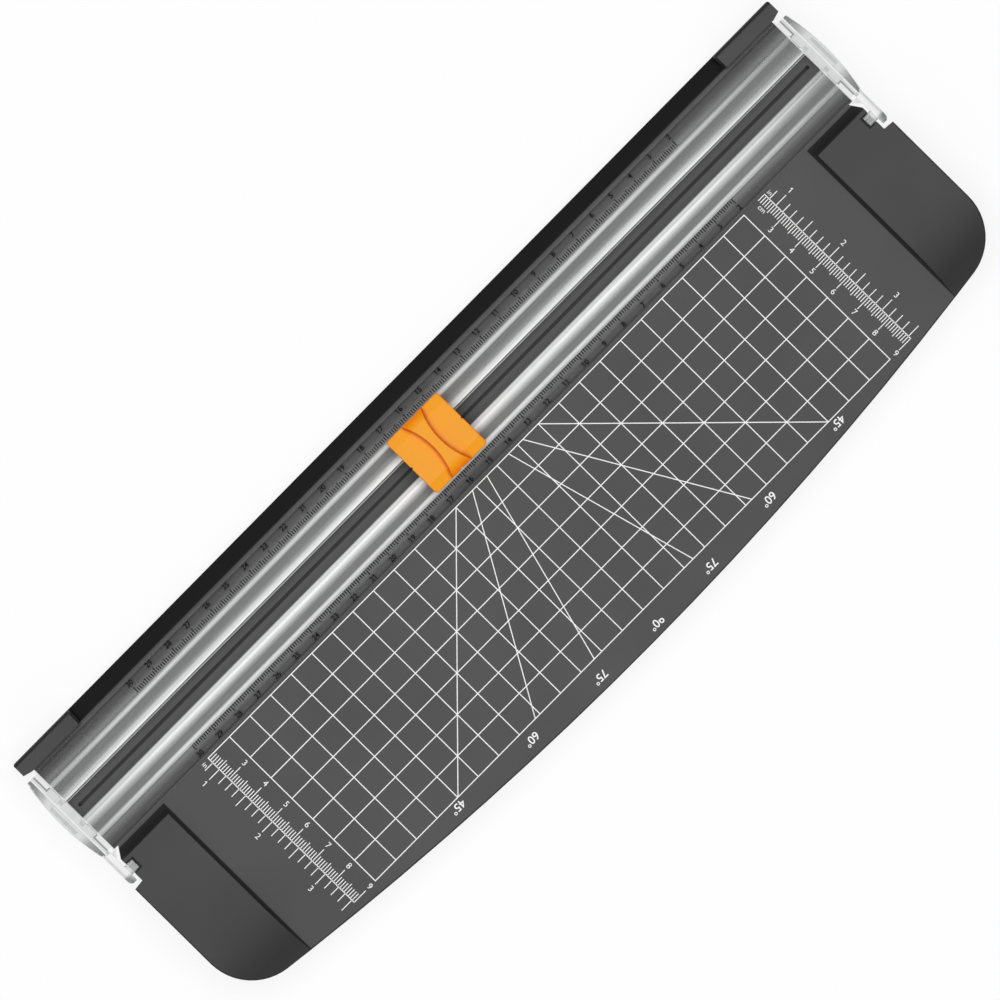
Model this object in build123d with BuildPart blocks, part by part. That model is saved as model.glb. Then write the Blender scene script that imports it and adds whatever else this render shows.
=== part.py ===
from build123d import *
import os
from math import asin, atan2, cos, degrees, pi, sin, sqrt

# Desk paper trimmer: a hollow moulded deck, a clear rail that lifts on two pegs,
# and a sprung cutter that slides along the slot of the rail.
# Millimetres. X runs along the rail, +Y is the back, +Z is up, and the feet stand on Z = 0.

# Deck in plan
base_length = 367.9
base_depth = 126.2
front_edge_radius = 1292.0
corner_radius = 20.0
back_corner_radius = 0.9
edge_round = 0.5

# Deck heights and walls
foot_drop = 1.5
rim_height = 12.5
wall = 2.4
plate_thickness = 2.6
rib_thickness = 1.8
rib_recess = 1.0
cross_ribs = 5
long_rib_shares = (0.27, 1.0)

# Side guides, measured in from the end or the front of the deck, or from the rail
guide_width = 27.7
guide_draft = 1.2
guide_rise = 6.5
guide_front_rise = 1.6
guide_fall_length = 26.0
guide_gap = 0.9
guide_back_slope = 3.8

# Recesses in the ends of the deck, measured in from its end
rail_end_inset = 4.75
corner_cut_inset = 6.5
corner_cut_depth = 4.0
recess_inset = 3.9
recess_gap = 1.4
recess_slant = 0.4
notch_depth = 3.5
notch_gap = 0.45

# Raised blocks at the back and the slope between them
block_inset = 0.7
block_length = 26.6
block_draft = 0.84
block_depth = 6.15
block_rise = 5.0
block_gap = 0.6
block_nose_width = 3.0
block_nose_depth = 0.85
block_round = 1.8
back_slope_drop = 6.0

# Cutting strip in its channel
strip_width = 12.0
strip_thickness = 2.0
strip_gap = 0.1
groove_width = 1.2
groove_depth = 1.5
groove_end_inset = 7.3
groove_hole_diameter = 1.4

# Rubber feet
foot_diameter = 12.0
foot_seat = 1.0
foot_gap = 0.1
foot_round = 0.5
foot_inset = 24.0
front_foot_inset = 12.5
back_foot_place = 12.0

# Clear rail bars, heights measured from the deck plate
rail_half_depth = 19.0
paper_gap = 0.2
flange_thickness = 2.0
rib_half_depth = 12.45
rib_rise = 8.5
rib_outer_wall = 1.4
rib_inner_wall = 3.0
rib_web = 2.0
slot_half_width = 3.5
groove_low = 3.4
groove_high = 5.6
groove_into_wall = 1.4
shoulder_round = 2.4
outer_round = 1.2
rail_round = 0.4
groove_round = 0.2
bar_inset = 4.3

# End caps of the rail
cap_wall_inset = 1.0
cap_wall_thickness = 3.15
cap_half_depth = 17.8
tab_reach = 2.16
tab_radius = 87.0
tab_rise = 3.0
tab_round = 0.6
grip_half_length = 6.1
grip_width = 1.2
grip_depth = 0.6
grip_edge = 0.9
plug_length = 8.0
plug_gap = 0.05
stop_reach = 0.4
seam_inset = 1.15
seam_width = 0.6
seam_depth = 1.2
pocket_inset = 0.3
pocket_length = 1.3
pocket_width = 1.8
pocket_depth = 1.0
gusset_width = 2.6
gusset_depth = 2.7
gusset_gap = 0.2

# Pegs that the rail lifts on
pivot_offset = 8.5
pivot_rise = 3.0
arm_inset = 0.0
arm_thickness = 2.8
eye_radius = 4.4
eye_round = 1.6
peg_diameter = 4.0
peg_end_gap = 1.0
peg_tip_diameter = 3.0
peg_tip_length = 2.8
peg_tip_gap = 0.05
peg_tip_end_gap = 0.3

# Slider: heights measured from the deck plate
slider_place = -3.35
slide_gap = 0.2
saddle_gap = 0.1
saddle_thickness = 2.0
rim_wall = 1.2
rim_rise = 1.4
stem_half_length = 9.0
stem_rise = 1.2
hook_gap = 0.3
well_gap = 0.2
press_travel = 2.5
press_gap = 0.2

# Press cap of the slider
cap_size = 24.6
cap_corner_radius = 1.2
cap_wall = 1.6
cap_rim_gap = 0.3
skirt_gap = 0.3
pad_thickness = 1.9
ridge_rise = 3.0
ridge_end_run = 5.0
ridge_end_drop = 2.0
ridge_edge_width = 9.35
ridge_waist_width = 3.6
bevel_width = 3.9
bevel_drop = 0.9
cap_edge_round = 0.4
mark_width = 0.8

# Blade holder, blade and rivet
holder_half_length = 6.2
holder_half_thickness = 1.5
holder_rise = 5.0
holder_flange_thickness = 1.2
holder_flange_half_length = 7.6
holder_flange_half_width = 3.9
stake_diameter = 1.6
stake_place = 2.7
stake_gap = 0.05
barb_reach = 0.6
barb_low = 6.0
barb_height = 0.7
barb_half_width = 1.1
window_gap = 0.2
blade_half_length = 4.5
blade_thickness = 0.5
blade_gap = 0.1
blade_top = 9.6
blade_shoulder = 5.4
blade_tip = 1.6
blade_grind = 0.2
rivet_diameter = 2.0
rivet_gap = 0.04
rivet_rise = 7.8
rivet_chamfer = 0.2

# Return springs
spring_place = 6.6
spring_wire = 0.4
spring_mean_diameter = 4.0
spring_turns = 4
spring_gap = 0.3
spring_end_gap = 0.05
spring_pocket_depth = 1.0
post_gap = 0.3
post_rise = 1.0
spring_sample_shares = (0.0, 0.25, 0.5, 0.75)

# How far a cut runs past what it cuts
overrun = 5.0

# Places worked out from the sizes above
half_length = base_length / 2
back_y = base_depth / 2
front_y = -base_depth / 2
block_front = rail_half_depth + block_gap
cut_y = back_y - block_depth - block_front
plate_top = foot_drop + rim_height
plate_under = plate_top - plate_thickness
guide_top = plate_top + guide_rise
block_top = plate_top + block_rise
guide_foot = rail_half_depth + guide_gap
pivot_ahead = rail_half_depth + pivot_offset
pivot_y = cut_y - pivot_ahead
pivot_z = plate_top + pivot_rise
notch_half_width = peg_diameter / 2 + notch_gap
notch_inset = recess_inset + notch_depth
notch_floor = pivot_z - notch_half_width
recess_end = pivot_ahead + eye_radius + recess_gap
front_centre_y = front_y + front_edge_radius
corner_x = half_length - corner_radius
corner_centre_radius = front_edge_radius - corner_radius
corner_y = front_centre_y - sqrt(corner_centre_radius**2 - corner_x**2)
tangent_angle = degrees(atan2(corner_y - front_centre_y, corner_x))
bed_half_length = half_length - guide_width
strip_half_length = half_length - rail_end_inset
flange_top = plate_top + paper_gap + flange_thickness
rail_under = plate_top + paper_gap
rib_top = plate_top + rib_rise
rib_hollow_outer = rib_half_depth - rib_outer_wall
rib_hollow_inner = slot_half_width + rib_inner_wall
rib_hollow_top = rib_top - rib_web
cap_wall_inner = cap_wall_inset + cap_wall_thickness
arm_inner = arm_inset + arm_thickness
saddle_under = rib_top + saddle_gap
saddle_top = saddle_under + saddle_thickness
rim_top = saddle_top + rim_rise
ceiling = rim_top + press_travel + press_gap
skirt_under = rib_top + skirt_gap + press_travel
pad_top = ceiling + pad_thickness
ridge_top = pad_top + ridge_rise
cap_half = cap_size / 2
cap_inner_half = cap_half - cap_wall
saddle_half = cap_inner_half - cap_rim_gap


def along(inset):
    """X of a place that lies this far in from the right end of the deck."""
    return half_length - inset


def ahead(distance):
    """Y of a place that lies this far in front of the cut line."""
    return cut_y - distance


def behind(distance):
    """Y of a place that lies this far behind the cut line."""
    return cut_y + distance


def front_edge_at(x):
    """Y of the bowed front edge at this X."""
    return front_centre_y - sqrt(front_edge_radius**2 - x**2)


def front_edge(shrink):
    """Right half of the rounded corner and bowed front edge, drawn this far inside the deck."""
    CenterArc((corner_x, corner_y), corner_radius - shrink, 0, tangent_angle)
    CenterArc((0, front_centre_y), front_edge_radius - shrink, -90, 90 + tangent_angle)


def hollow_outline():
    """Outline of the hollow under the front of the deck, one wall inside its edge."""
    Polyline(
        (0, ahead(hollow_back)),
        (along(wall), ahead(hollow_back)),
        (along(wall), corner_y),
    )
    front_edge(wall)
    mirror(about=Plane.YZ)


def deck_ribs(back_end):
    """Thin ribs under the deck plate, across it up to this Y and along it."""
    for rib in range(cross_ribs):
        rib_x = (rib - (cross_ribs - 1) / 2) * base_length / (cross_ribs + 1)
        rib_front = front_edge_at(rib_x) + wall / 2
        with Locations((rib_x, (rib_front + back_end) / 2)):
            Rectangle(rib_thickness, back_end - rib_front)
    for share in long_rib_shares:
        with Locations((0, ahead(hollow_back) + share * (corner_y - ahead(hollow_back)))):
            Rectangle(2 * along(wall / 2), rib_thickness)


def save(piece, name):
    """Label a finished piece and write it to its own file."""
    piece.part.label = name
    export_step(piece.part, f"parts/{name}.step")


os.makedirs("parts", exist_ok=True)

# Falling top of the side guides: flat, then an arc down to the bowed front edge
guide_fall_drop = guide_rise - guide_front_rise
guide_fall_radius = (guide_fall_length**2 + guide_fall_drop**2) / (2 * guide_fall_drop)
guide_fall_angle = degrees(asin((guide_fall_length + overrun) / guide_fall_radius))
guide_fall_y = front_edge_at(bed_half_length) + guide_fall_length

# Hollows inside the side guides, one wall inside them
hollow_back = recess_end + recess_slant + wall
with BuildPart() as guide_hollows:
    with BuildSketch(Plane.XY.offset(foot_drop)):
        with BuildLine():
            hollow_outline()
        make_face()
        with Locations((0, front_y)):
            Rectangle(2 * (bed_half_length + guide_draft + wall), 2 * base_depth, mode=Mode.SUBTRACT)
    extrude(amount=guide_top - foot_drop)
    with BuildSketch(Plane.YZ):
        with BuildLine():
            fall = CenterArc(
                (guide_fall_y, guide_top - guide_fall_radius),
                guide_fall_radius - wall,
                90,
                guide_fall_angle,
            )
            Polyline(
                fall @ 1,
                ((fall @ 1).X, foot_drop),
                (ahead(hollow_back), foot_drop),
                (ahead(hollow_back), guide_top - wall),
                fall @ 0,
            )
        make_face()
    extrude(amount=base_length, both=True, mode=Mode.INTERSECT)

# Moulded deck with side guides, back blocks, strip channel and foot bosses
deck_side = (
    (0, back_y),
    (along(block_inset), back_y),
    (along(block_inset), behind(block_front + block_nose_depth)),
    (along(block_inset + block_nose_width), behind(block_front)),
    (along(rail_end_inset), behind(block_front)),
    (along(rail_end_inset), ahead(rail_half_depth)),
    (along(corner_cut_inset), ahead(rail_half_depth)),
    (along(recess_inset), ahead(rail_half_depth + corner_cut_depth)),
    (along(recess_inset), pivot_y + notch_half_width),
    (along(notch_inset), pivot_y + notch_half_width),
    (along(notch_inset), pivot_y - notch_half_width),
    (along(recess_inset), pivot_y - notch_half_width),
    (along(recess_inset), ahead(recess_end)),
    (along(0), ahead(recess_end + recess_slant)),
    (along(0), corner_y),
)
foot_xs = (-along(foot_inset), 0, along(foot_inset))
front_foot_y = front_edge_at(along(foot_inset)) + front_foot_inset
foot_rows = (("front", front_foot_y), ("back", behind(back_foot_place)))
foot_places = [(x, y) for name, y in foot_rows for x in foot_xs]
channel_half_width = strip_width / 2 + strip_gap
channel_floor = plate_top - strip_thickness

# Space over the slope at the back, between the drafted ends of the blocks
slope_depth = back_y - behind(block_front)
draft_per_rise = block_draft / block_rise
with BuildPart() as slope_space:
    with BuildSketch(Plane.YZ):
        with BuildLine():
            Polyline(
                (behind(block_front), plate_top),
                (back_y + overrun, plate_top - back_slope_drop * (slope_depth + overrun) / slope_depth),
                (back_y + overrun, guide_top + overrun),
                (behind(block_front), guide_top + overrun),
                close=True,
            )
        make_face()
    extrude(amount=base_length, both=True)
    with BuildSketch(Plane.XZ.offset(-back_y)):
        low_half = along(block_length) - draft_per_rise * block_top
        high_half = along(block_length) + draft_per_rise * (guide_top + overrun - block_top)
        with BuildLine():
            Polyline(
                (-low_half, 0),
                (low_half, 0),
                (high_half, guide_top + overrun),
                (-high_half, guide_top + overrun),
                close=True,
            )
        make_face()
    extrude(amount=base_depth, both=True, mode=Mode.INTERSECT)

with BuildPart() as base_deck:
    with BuildSketch(Plane.XY.offset(foot_drop)) as deck_plan:
        with BuildLine():
            Polyline(*deck_side)
            front_edge(0)
            mirror(about=Plane.YZ)
        make_face()
        back_corners = deck_plan.vertices().group_by(Axis.Y)[-1].sort_by(Axis.X)
        fillet([back_corners[0], back_corners[-1]], back_corner_radius)
    extrude(amount=guide_top - foot_drop)
    # Bed between the drafted side guides
    with BuildSketch(Plane.XZ.offset(-cut_y)):
        bed_top_half = bed_half_length + guide_draft * (guide_rise + overrun) / guide_rise
        with BuildLine():
            Polyline(
                (-bed_half_length, plate_top),
                (bed_half_length, plate_top),
                (bed_top_half, guide_top + overrun),
                (-bed_top_half, guide_top + overrun),
                close=True,
            )
        make_face()
    extrude(amount=cut_y - front_y + overrun, mode=Mode.SUBTRACT)
    # Seat of the rail, with the sloped backs of the guides in front of it
    with BuildSketch(Plane.YZ):
        guide_lean = guide_back_slope * (guide_rise + overrun) / guide_rise
        with BuildLine():
            Polyline(
                (ahead(guide_foot), plate_top),
                (ahead(guide_foot + guide_lean), guide_top + overrun),
                (behind(block_front), guide_top + overrun),
                (behind(block_front), plate_top),
                close=True,
            )
        make_face()
    extrude(amount=base_length, both=True, mode=Mode.SUBTRACT)
    # Tops of the back blocks, rounded at the back
    with BuildSketch(Plane.YZ):
        with BuildLine():
            back_round = CenterArc((back_y - block_round, block_top - block_round), block_round, 0, 90)
            Polyline(
                back_round @ 1,
                (cut_y, block_top),
                (cut_y, guide_top + overrun),
                (back_y + overrun, guide_top + overrun),
                (back_y + overrun, block_top - block_round),
                back_round @ 0,
            )
        make_face()
    extrude(amount=base_length, both=True, mode=Mode.SUBTRACT)
    add(slope_space.part, mode=Mode.SUBTRACT)
    # Falling tops of the guides
    for side in (-1, 1):
        with BuildSketch(Plane.YZ.offset(side * bed_half_length)):
            with BuildLine():
                fall = CenterArc(
                    (guide_fall_y, guide_top - guide_fall_radius),
                    guide_fall_radius,
                    90,
                    guide_fall_angle,
                )
                Polyline(
                    fall @ 1,
                    ((fall @ 1).X, guide_top + overrun),
                    (guide_fall_y, guide_top + overrun),
                    fall @ 0,
                )
            make_face()
        extrude(amount=side * (guide_width + overrun), mode=Mode.SUBTRACT)
    # Rounded edges of the guides and of the front lip of the plate
    guide_faces = base_deck.faces().filter_by(Axis.Z).group_by(Axis.Z)[-1]
    guide_faces += base_deck.faces().filter_by(GeomType.CYLINDER).filter_by(
        lambda face: abs(face.radius - guide_fall_radius) < edge_round
    )
    guide_edges = guide_faces.edges().filter_by(Axis.X, reverse=True).filter_by(
        lambda edge: edge.center().Y < ahead(recess_end + recess_slant + edge_round)
    )
    fillet(guide_edges, edge_round)
    front_lip = base_deck.edges().filter_by(GeomType.CIRCLE).filter_by(
        lambda edge: abs(edge.center().Z - plate_top) < edge_round / 2
    )
    fillet(front_lip, edge_round)
    # Underside with its ribs, the block under the strip, and the foot bosses
    with BuildSketch(Plane.XY.offset(foot_drop)):
        with BuildLine():
            hollow_outline()
        make_face()
    extrude(amount=plate_under - foot_drop, mode=Mode.SUBTRACT)
    with BuildSketch(Plane.YZ):
        with BuildLine():
            Polyline(
                (ahead(hollow_back), foot_drop),
                (back_y - wall, foot_drop),
                (back_y - wall, plate_under - back_slope_drop),
                (behind(block_front), plate_under),
                (ahead(hollow_back), plate_under),
                close=True,
            )
        make_face()
    extrude(amount=along(notch_inset + wall), both=True, mode=Mode.SUBTRACT)
    add(guide_hollows.part, mode=Mode.SUBTRACT)
    with BuildSketch(Plane.XY.offset(foot_drop + rib_recess)):
        deck_ribs(back_y - wall / 2)
    extrude(amount=plate_under - back_slope_drop - foot_drop - rib_recess)
    with BuildSketch(Plane.XY.offset(plate_under - back_slope_drop)):
        deck_ribs(behind(block_front))
    extrude(amount=back_slope_drop)
    with BuildSketch(Plane.XY.offset(channel_floor - wall)):
        with Locations((0, cut_y)):
            Rectangle(2 * along(notch_inset), 2 * (channel_half_width + wall))
    extrude(amount=plate_under - channel_floor + wall)
    with BuildSketch(Plane.XY.offset(foot_drop)):
        with Locations(*foot_places):
            Circle(foot_diameter / 2 + foot_gap + wall)
    extrude(amount=plate_under - foot_drop)
    with BuildSketch(Plane.XY.offset(foot_drop)):
        with Locations(*foot_places):
            Circle(foot_diameter / 2 + foot_gap)
    extrude(amount=foot_seat, mode=Mode.SUBTRACT)
    # Floors of the notches that the pegs turn in
    with BuildSketch(Plane.XY.offset(foot_drop)):
        notch_middle = along(recess_inset + notch_depth / 2)
        with Locations((-notch_middle, pivot_y), (notch_middle, pivot_y)):
            Rectangle(notch_depth, 2 * notch_half_width)
    extrude(amount=notch_floor - foot_drop)
    # Channel of the cutting strip
    with BuildSketch(Plane.XY.offset(channel_floor)):
        with Locations((0, cut_y)):
            Rectangle(base_length, 2 * channel_half_width)
    extrude(amount=strip_thickness, mode=Mode.SUBTRACT)
    # Blind bores for the tips of the pegs
    for side in (-1, 1):
        bore_plane = Plane((side * along(notch_inset), pivot_y, pivot_z), z_dir=(-side, 0, 0))
        with BuildSketch(bore_plane):
            Circle(peg_tip_diameter / 2 + peg_tip_gap)
        extrude(amount=peg_tip_length, mode=Mode.SUBTRACT)
save(base_deck, "base_deck")

# Replaceable strip under the blade, with a groove that ends in a small round hole each side
with BuildPart() as cutting_strip:
    with BuildSketch(Plane.XY.offset(channel_floor)):
        with Locations((0, cut_y)):
            Rectangle(2 * strip_half_length, strip_width)
    extrude(amount=strip_thickness)
    with BuildSketch(Plane.XY.offset(plate_top - groove_depth)):
        with Locations((0, cut_y)):
            Rectangle(2 * along(groove_end_inset), groove_width)
        with Locations((-along(groove_end_inset), cut_y), (along(groove_end_inset), cut_y)):
            Circle(groove_hole_diameter / 2)
    extrude(amount=groove_depth, mode=Mode.SUBTRACT)
save(cutting_strip, "cutting_strip")

# Rubber feet, each seated in its boss
for row_name, row_y in foot_rows:
    for column_name, foot_x in zip(("left", "middle", "right"), foot_xs):
        with BuildPart() as foot:
            with BuildSketch(Plane.XY):
                with Locations((foot_x, row_y)):
                    Circle(foot_diameter / 2)
            extrude(amount=foot_drop + foot_seat)
            fillet(foot.edges().group_by(Axis.Z)[0], foot_round)
        save(foot, f"foot_{row_name}_{column_name}")

# Clear rail bars: a flange that holds the paper, and a hollow rib with a groove for the slider
bar_outline = (
    (rail_half_depth, rail_under),
    (rail_half_depth, flange_top),
    (rib_half_depth, flange_top),
    (rib_half_depth, rib_top),
    (slot_half_width, rib_top),
    (slot_half_width, plate_top + groove_high),
    (slot_half_width + groove_into_wall, plate_top + groove_high),
    (slot_half_width + groove_into_wall, plate_top + groove_low),
    (slot_half_width, plate_top + groove_low),
    (slot_half_width, rail_under),
    (rib_hollow_inner, rail_under),
    (rib_hollow_inner, rib_hollow_top),
    (rib_hollow_outer, rib_hollow_top),
    (rib_hollow_outer, rail_under),
)
bar_rounds = [rail_round] * 3 + [outer_round, shoulder_round] + [groove_round] * 4 + [rail_round] * 5
for bar_name, side in (("front_rail", -1), ("rear_rail", 1)):
    with BuildPart() as bar:
        with BuildSketch(Plane.YZ):
            with BuildLine():
                FilletPolyline(
                    *[(cut_y + side * reach, height) for reach, height in bar_outline],
                    radius=bar_rounds,
                    close=True,
                )
            make_face()
        extrude(amount=along(bar_inset), both=True)
    save(bar, bar_name)

# Right end cap: wall, lift tab, plugs for the ribs, slot stop, and the arm with its peg
cap_outer_x = along(-tab_reach)
tab_end_x = cap_outer_x - tab_radius + sqrt(tab_radius**2 - cap_half_depth**2)
plug_width = rib_hollow_outer - rib_hollow_inner - 2 * plug_gap
plug_middle = (rib_hollow_outer + rib_hollow_inner) / 2
plug_height = rib_hollow_top - plug_gap - rail_under
with BuildPart() as right_end_cap:
    with BuildSketch(Plane.YZ.offset(along(cap_wall_inner))) as cap_wall_outline:
        with Locations((cut_y, (rail_under + flange_top) / 2)):
            Rectangle(2 * cap_half_depth, flange_top - rail_under)
        with Locations((cut_y, (rail_under + rib_top) / 2)):
            Rectangle(2 * rib_hollow_outer, rib_top - rail_under)
        fillet(cap_wall_outline.vertices().group_by(Axis.Y)[-1], outer_round)
    extrude(amount=cap_wall_thickness)
    with BuildSketch(Plane.XY.offset(rail_under)):
        with BuildLine():
            Polyline(
                (tab_end_x, ahead(cap_half_depth)),
                (along(cap_wall_inner), ahead(cap_half_depth)),
                (along(cap_wall_inner), behind(cap_half_depth)),
                (tab_end_x, behind(cap_half_depth)),
            )
            ThreePointArc(
                (tab_end_x, behind(cap_half_depth)),
                (cap_outer_x, cut_y),
                (tab_end_x, ahead(cap_half_depth)),
            )
        make_face()
    extrude(amount=tab_rise - paper_gap)
    tab_rim = right_end_cap.faces().filter_by(GeomType.CYLINDER).sort_by(Axis.X)[-1]
    fillet(tab_rim.edges().group_by(Axis.Z)[-1], tab_round)
    with BuildSketch(Plane.XY.offset(plate_top + tab_rise - grip_depth)):
        with Locations((cap_outer_x - grip_edge - grip_width / 2, cut_y)):
            Rectangle(grip_width, 2 * grip_half_length)
    extrude(amount=grip_depth, mode=Mode.SUBTRACT)
    # Pockets behind the ends of the slot's walls
    with BuildSketch(Plane.XY.offset(rib_top - pocket_depth)):
        pocket_x = along(cap_wall_inner - pocket_inset - pocket_length / 2)
        pocket_place = slot_half_width + rib_inner_wall / 2
        with Locations((pocket_x, ahead(pocket_place)), (pocket_x, behind(pocket_place))):
            Rectangle(pocket_length, pocket_width)
    extrude(amount=pocket_depth, mode=Mode.SUBTRACT)
    with BuildSketch(Plane.YZ.offset(along(bar_inset + plug_length))):
        with Locations(
            (ahead(plug_middle), rail_under + plug_height / 2),
            (behind(plug_middle), rail_under + plug_height / 2),
        ):
            RectangleRounded(plug_width, plug_height, rail_round)
    extrude(amount=bar_inset + plug_length - cap_wall_inner)
    with BuildSketch(Plane.YZ.offset(along(bar_inset + stop_reach))):
        with Locations((cut_y, (rail_under + rib_top) / 2)):
            Rectangle(2 * (slot_half_width - plug_gap), rib_top - rail_under)
    extrude(amount=bar_inset + stop_reach - cap_wall_inner)
    with BuildSketch(Plane.XY.offset(rail_under)):
        with BuildLine():
            Polyline(
                (along(arm_inner), ahead(rail_half_depth + gusset_gap)),
                (along(arm_inner + gusset_width), ahead(rail_half_depth + gusset_gap)),
                (along(arm_inner), ahead(rail_half_depth + gusset_gap + gusset_depth)),
                close=True,
            )
        make_face()
    extrude(amount=flange_thickness)
    with BuildSketch(Plane.YZ.offset(along(arm_inner))):
        arm_back = ahead(cap_half_depth)
        with Locations(((pivot_y + arm_back) / 2, pivot_z)):
            Rectangle(arm_back - pivot_y, 2 * eye_radius)
        with Locations((arm_back, rail_under + (tab_rise - paper_gap) / 2)):
            Rectangle(2 * wall, tab_rise - paper_gap)
        with Locations((pivot_y, pivot_z)):
            Circle(eye_radius)
    extrude(amount=arm_thickness)
    eye_rim = right_end_cap.faces().filter_by(GeomType.CYLINDER).sort_by(Axis.Y)[0]
    fillet(eye_rim.edges().sort_by(Axis.X)[-1], eye_round)
    peg_length = notch_inset - peg_end_gap - arm_inner
    peg_plane = Plane((along(arm_inner), pivot_y, pivot_z), z_dir=(-1, 0, 0))
    with BuildSketch(peg_plane):
        Circle(peg_diameter / 2)
    extrude(amount=peg_length)
    with BuildSketch(peg_plane.offset(peg_length)):
        Circle(peg_tip_diameter / 2)
    extrude(amount=peg_end_gap + peg_tip_length - peg_tip_end_gap)
    # Seams around the ends of the two flanges
    with BuildSketch(Plane.XY.offset(plate_top + tab_rise - seam_depth)):
        seam_x = along(cap_wall_inner - seam_inset - seam_width / 2)
        for side in (-1, 1):
            with Locations((seam_x, cut_y + side * (cap_half_depth + rib_hollow_outer) / 2)):
                Rectangle(seam_width, cap_half_depth - rib_hollow_outer)
            seam_y = cut_y + side * (rib_hollow_outer + seam_width / 2)
            with Locations((seam_x - (seam_inset + seam_width) / 2, seam_y)):
                Rectangle(seam_inset, seam_width)
    extrude(amount=seam_depth, mode=Mode.SUBTRACT)
save(right_end_cap, "right_end_cap")

# Left end cap, the mirror image of the right one
with BuildPart() as left_end_cap:
    mirror(right_end_cap.part, about=Plane.YZ)
save(left_end_cap, "left_end_cap")

# Slider shuttle: a saddle on the ribs, and a stem whose hooks run in the grooves of the slot
stem_half_width = slot_half_width - slide_gap
hook_half_width = slot_half_width + groove_into_wall - hook_gap
hook_low = plate_top + groove_low + hook_gap
hook_high = plate_top + groove_high - hook_gap
stem_under = plate_top + stem_rise
well_half_length = holder_half_length + well_gap
well_half_width = holder_half_thickness + well_gap
barb_top = plate_top + barb_low + barb_height
window_low = plate_top + barb_low - press_travel - window_gap
window_high = barb_top + window_gap
spring_pocket_radius = (spring_mean_diameter + spring_wire) / 2 + spring_gap
spring_floor = saddle_top - spring_pocket_depth
post_radius = (spring_mean_diameter - spring_wire) / 2 - post_gap
spring_spots = ((slider_place, ahead(spring_place)), (slider_place, behind(spring_place)))
stake_spots = ((slider_place, ahead(stake_place)), (slider_place, behind(stake_place)))
slider_spot = (slider_place, cut_y)
rivet_plane = Plane((slider_place, cut_y, plate_top + rivet_rise), z_dir=(0, -1, 0))
with BuildPart() as slider_shuttle:
    with BuildSketch(Plane.XY.offset(saddle_under)):
        with Locations(slider_spot):
            RectangleRounded(2 * saddle_half, 2 * saddle_half, cap_corner_radius)
    extrude(amount=rim_top - saddle_under)
    with BuildSketch(Plane.XY.offset(saddle_top)):
        with Locations(slider_spot):
            Rectangle(2 * (saddle_half - rim_wall), 2 * (saddle_half - rim_wall))
    extrude(amount=rim_rise, mode=Mode.SUBTRACT)
    with BuildSketch(Plane.XY.offset(stem_under)):
        with Locations(slider_spot):
            Rectangle(2 * stem_half_length, 2 * stem_half_width)
    extrude(amount=saddle_under - stem_under)
    with BuildSketch(Plane.XY.offset(hook_low)):
        with Locations(slider_spot):
            Rectangle(2 * stem_half_length, 2 * hook_half_width)
    extrude(amount=hook_high - hook_low)
    with BuildSketch(Plane.XY.offset(spring_floor)):
        with Locations(*spring_spots):
            Circle(spring_pocket_radius)
    extrude(amount=spring_pocket_depth, mode=Mode.SUBTRACT)
    with BuildSketch(Plane.XY.offset(spring_floor)):
        with Locations(*spring_spots):
            Circle(post_radius)
    extrude(amount=spring_pocket_depth + post_rise)
    with BuildSketch(Plane.XY.offset(stem_under)):
        with Locations(slider_spot):
            Rectangle(2 * well_half_length, 2 * well_half_width)
    extrude(amount=rim_top - stem_under, mode=Mode.SUBTRACT)
    with BuildSketch(Plane.XY.offset(window_low)):
        with Locations(slider_spot):
            Rectangle(2 * (stem_half_length + overrun), 2 * (barb_half_width + window_gap))
    extrude(amount=window_high - window_low, mode=Mode.SUBTRACT)
save(slider_shuttle, "slider_shuttle")


def on_cap_side(edge):
    """Whether an edge lies on one of the four sides of the press cap."""
    middle = edge.center()
    reach = max(abs(middle.X - slider_place), abs(middle.Y - cut_y))
    return reach > cap_half - cap_edge_round


# Press cap: a skirted square with a waisted ridge between two finger pads that fall to the front and back
ridge_bow = (ridge_edge_width - ridge_waist_width) / 2
ridge_side_radius = (cap_half**2 + ridge_bow**2) / (2 * ridge_bow)
ridge_end_radius = (ridge_end_run**2 + ridge_end_drop**2) / (2 * ridge_end_drop)
ridge_end_angle = degrees(asin(ridge_end_run / ridge_end_radius))
pad_inner = ridge_waist_width / 2
pad_half = cap_half - bevel_width
pad_edge_top = pad_top - bevel_drop
with BuildPart() as pad_spaces:
    with BuildSketch(Plane.YZ.offset(slider_place)):
        with BuildLine():
            Polyline(
                (ahead(pad_half), pad_top),
                (behind(pad_half), pad_top),
                (behind(cap_half), pad_edge_top),
                (behind(cap_half + overrun), pad_edge_top),
                (behind(cap_half + overrun), ridge_top + overrun),
                (ahead(cap_half + overrun), ridge_top + overrun),
                (ahead(cap_half + overrun), pad_edge_top),
                (ahead(cap_half), pad_edge_top),
                close=True,
            )
        make_face()
    extrude(amount=cap_size, both=True)
    with BuildSketch(Plane.XY.offset(skirt_under)):
        for side in (-1, 1):
            with Locations((slider_place + side * (pad_inner + ridge_side_radius), cut_y)):
                Circle(ridge_side_radius)
    extrude(amount=ridge_top + overrun - skirt_under, mode=Mode.INTERSECT)

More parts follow.
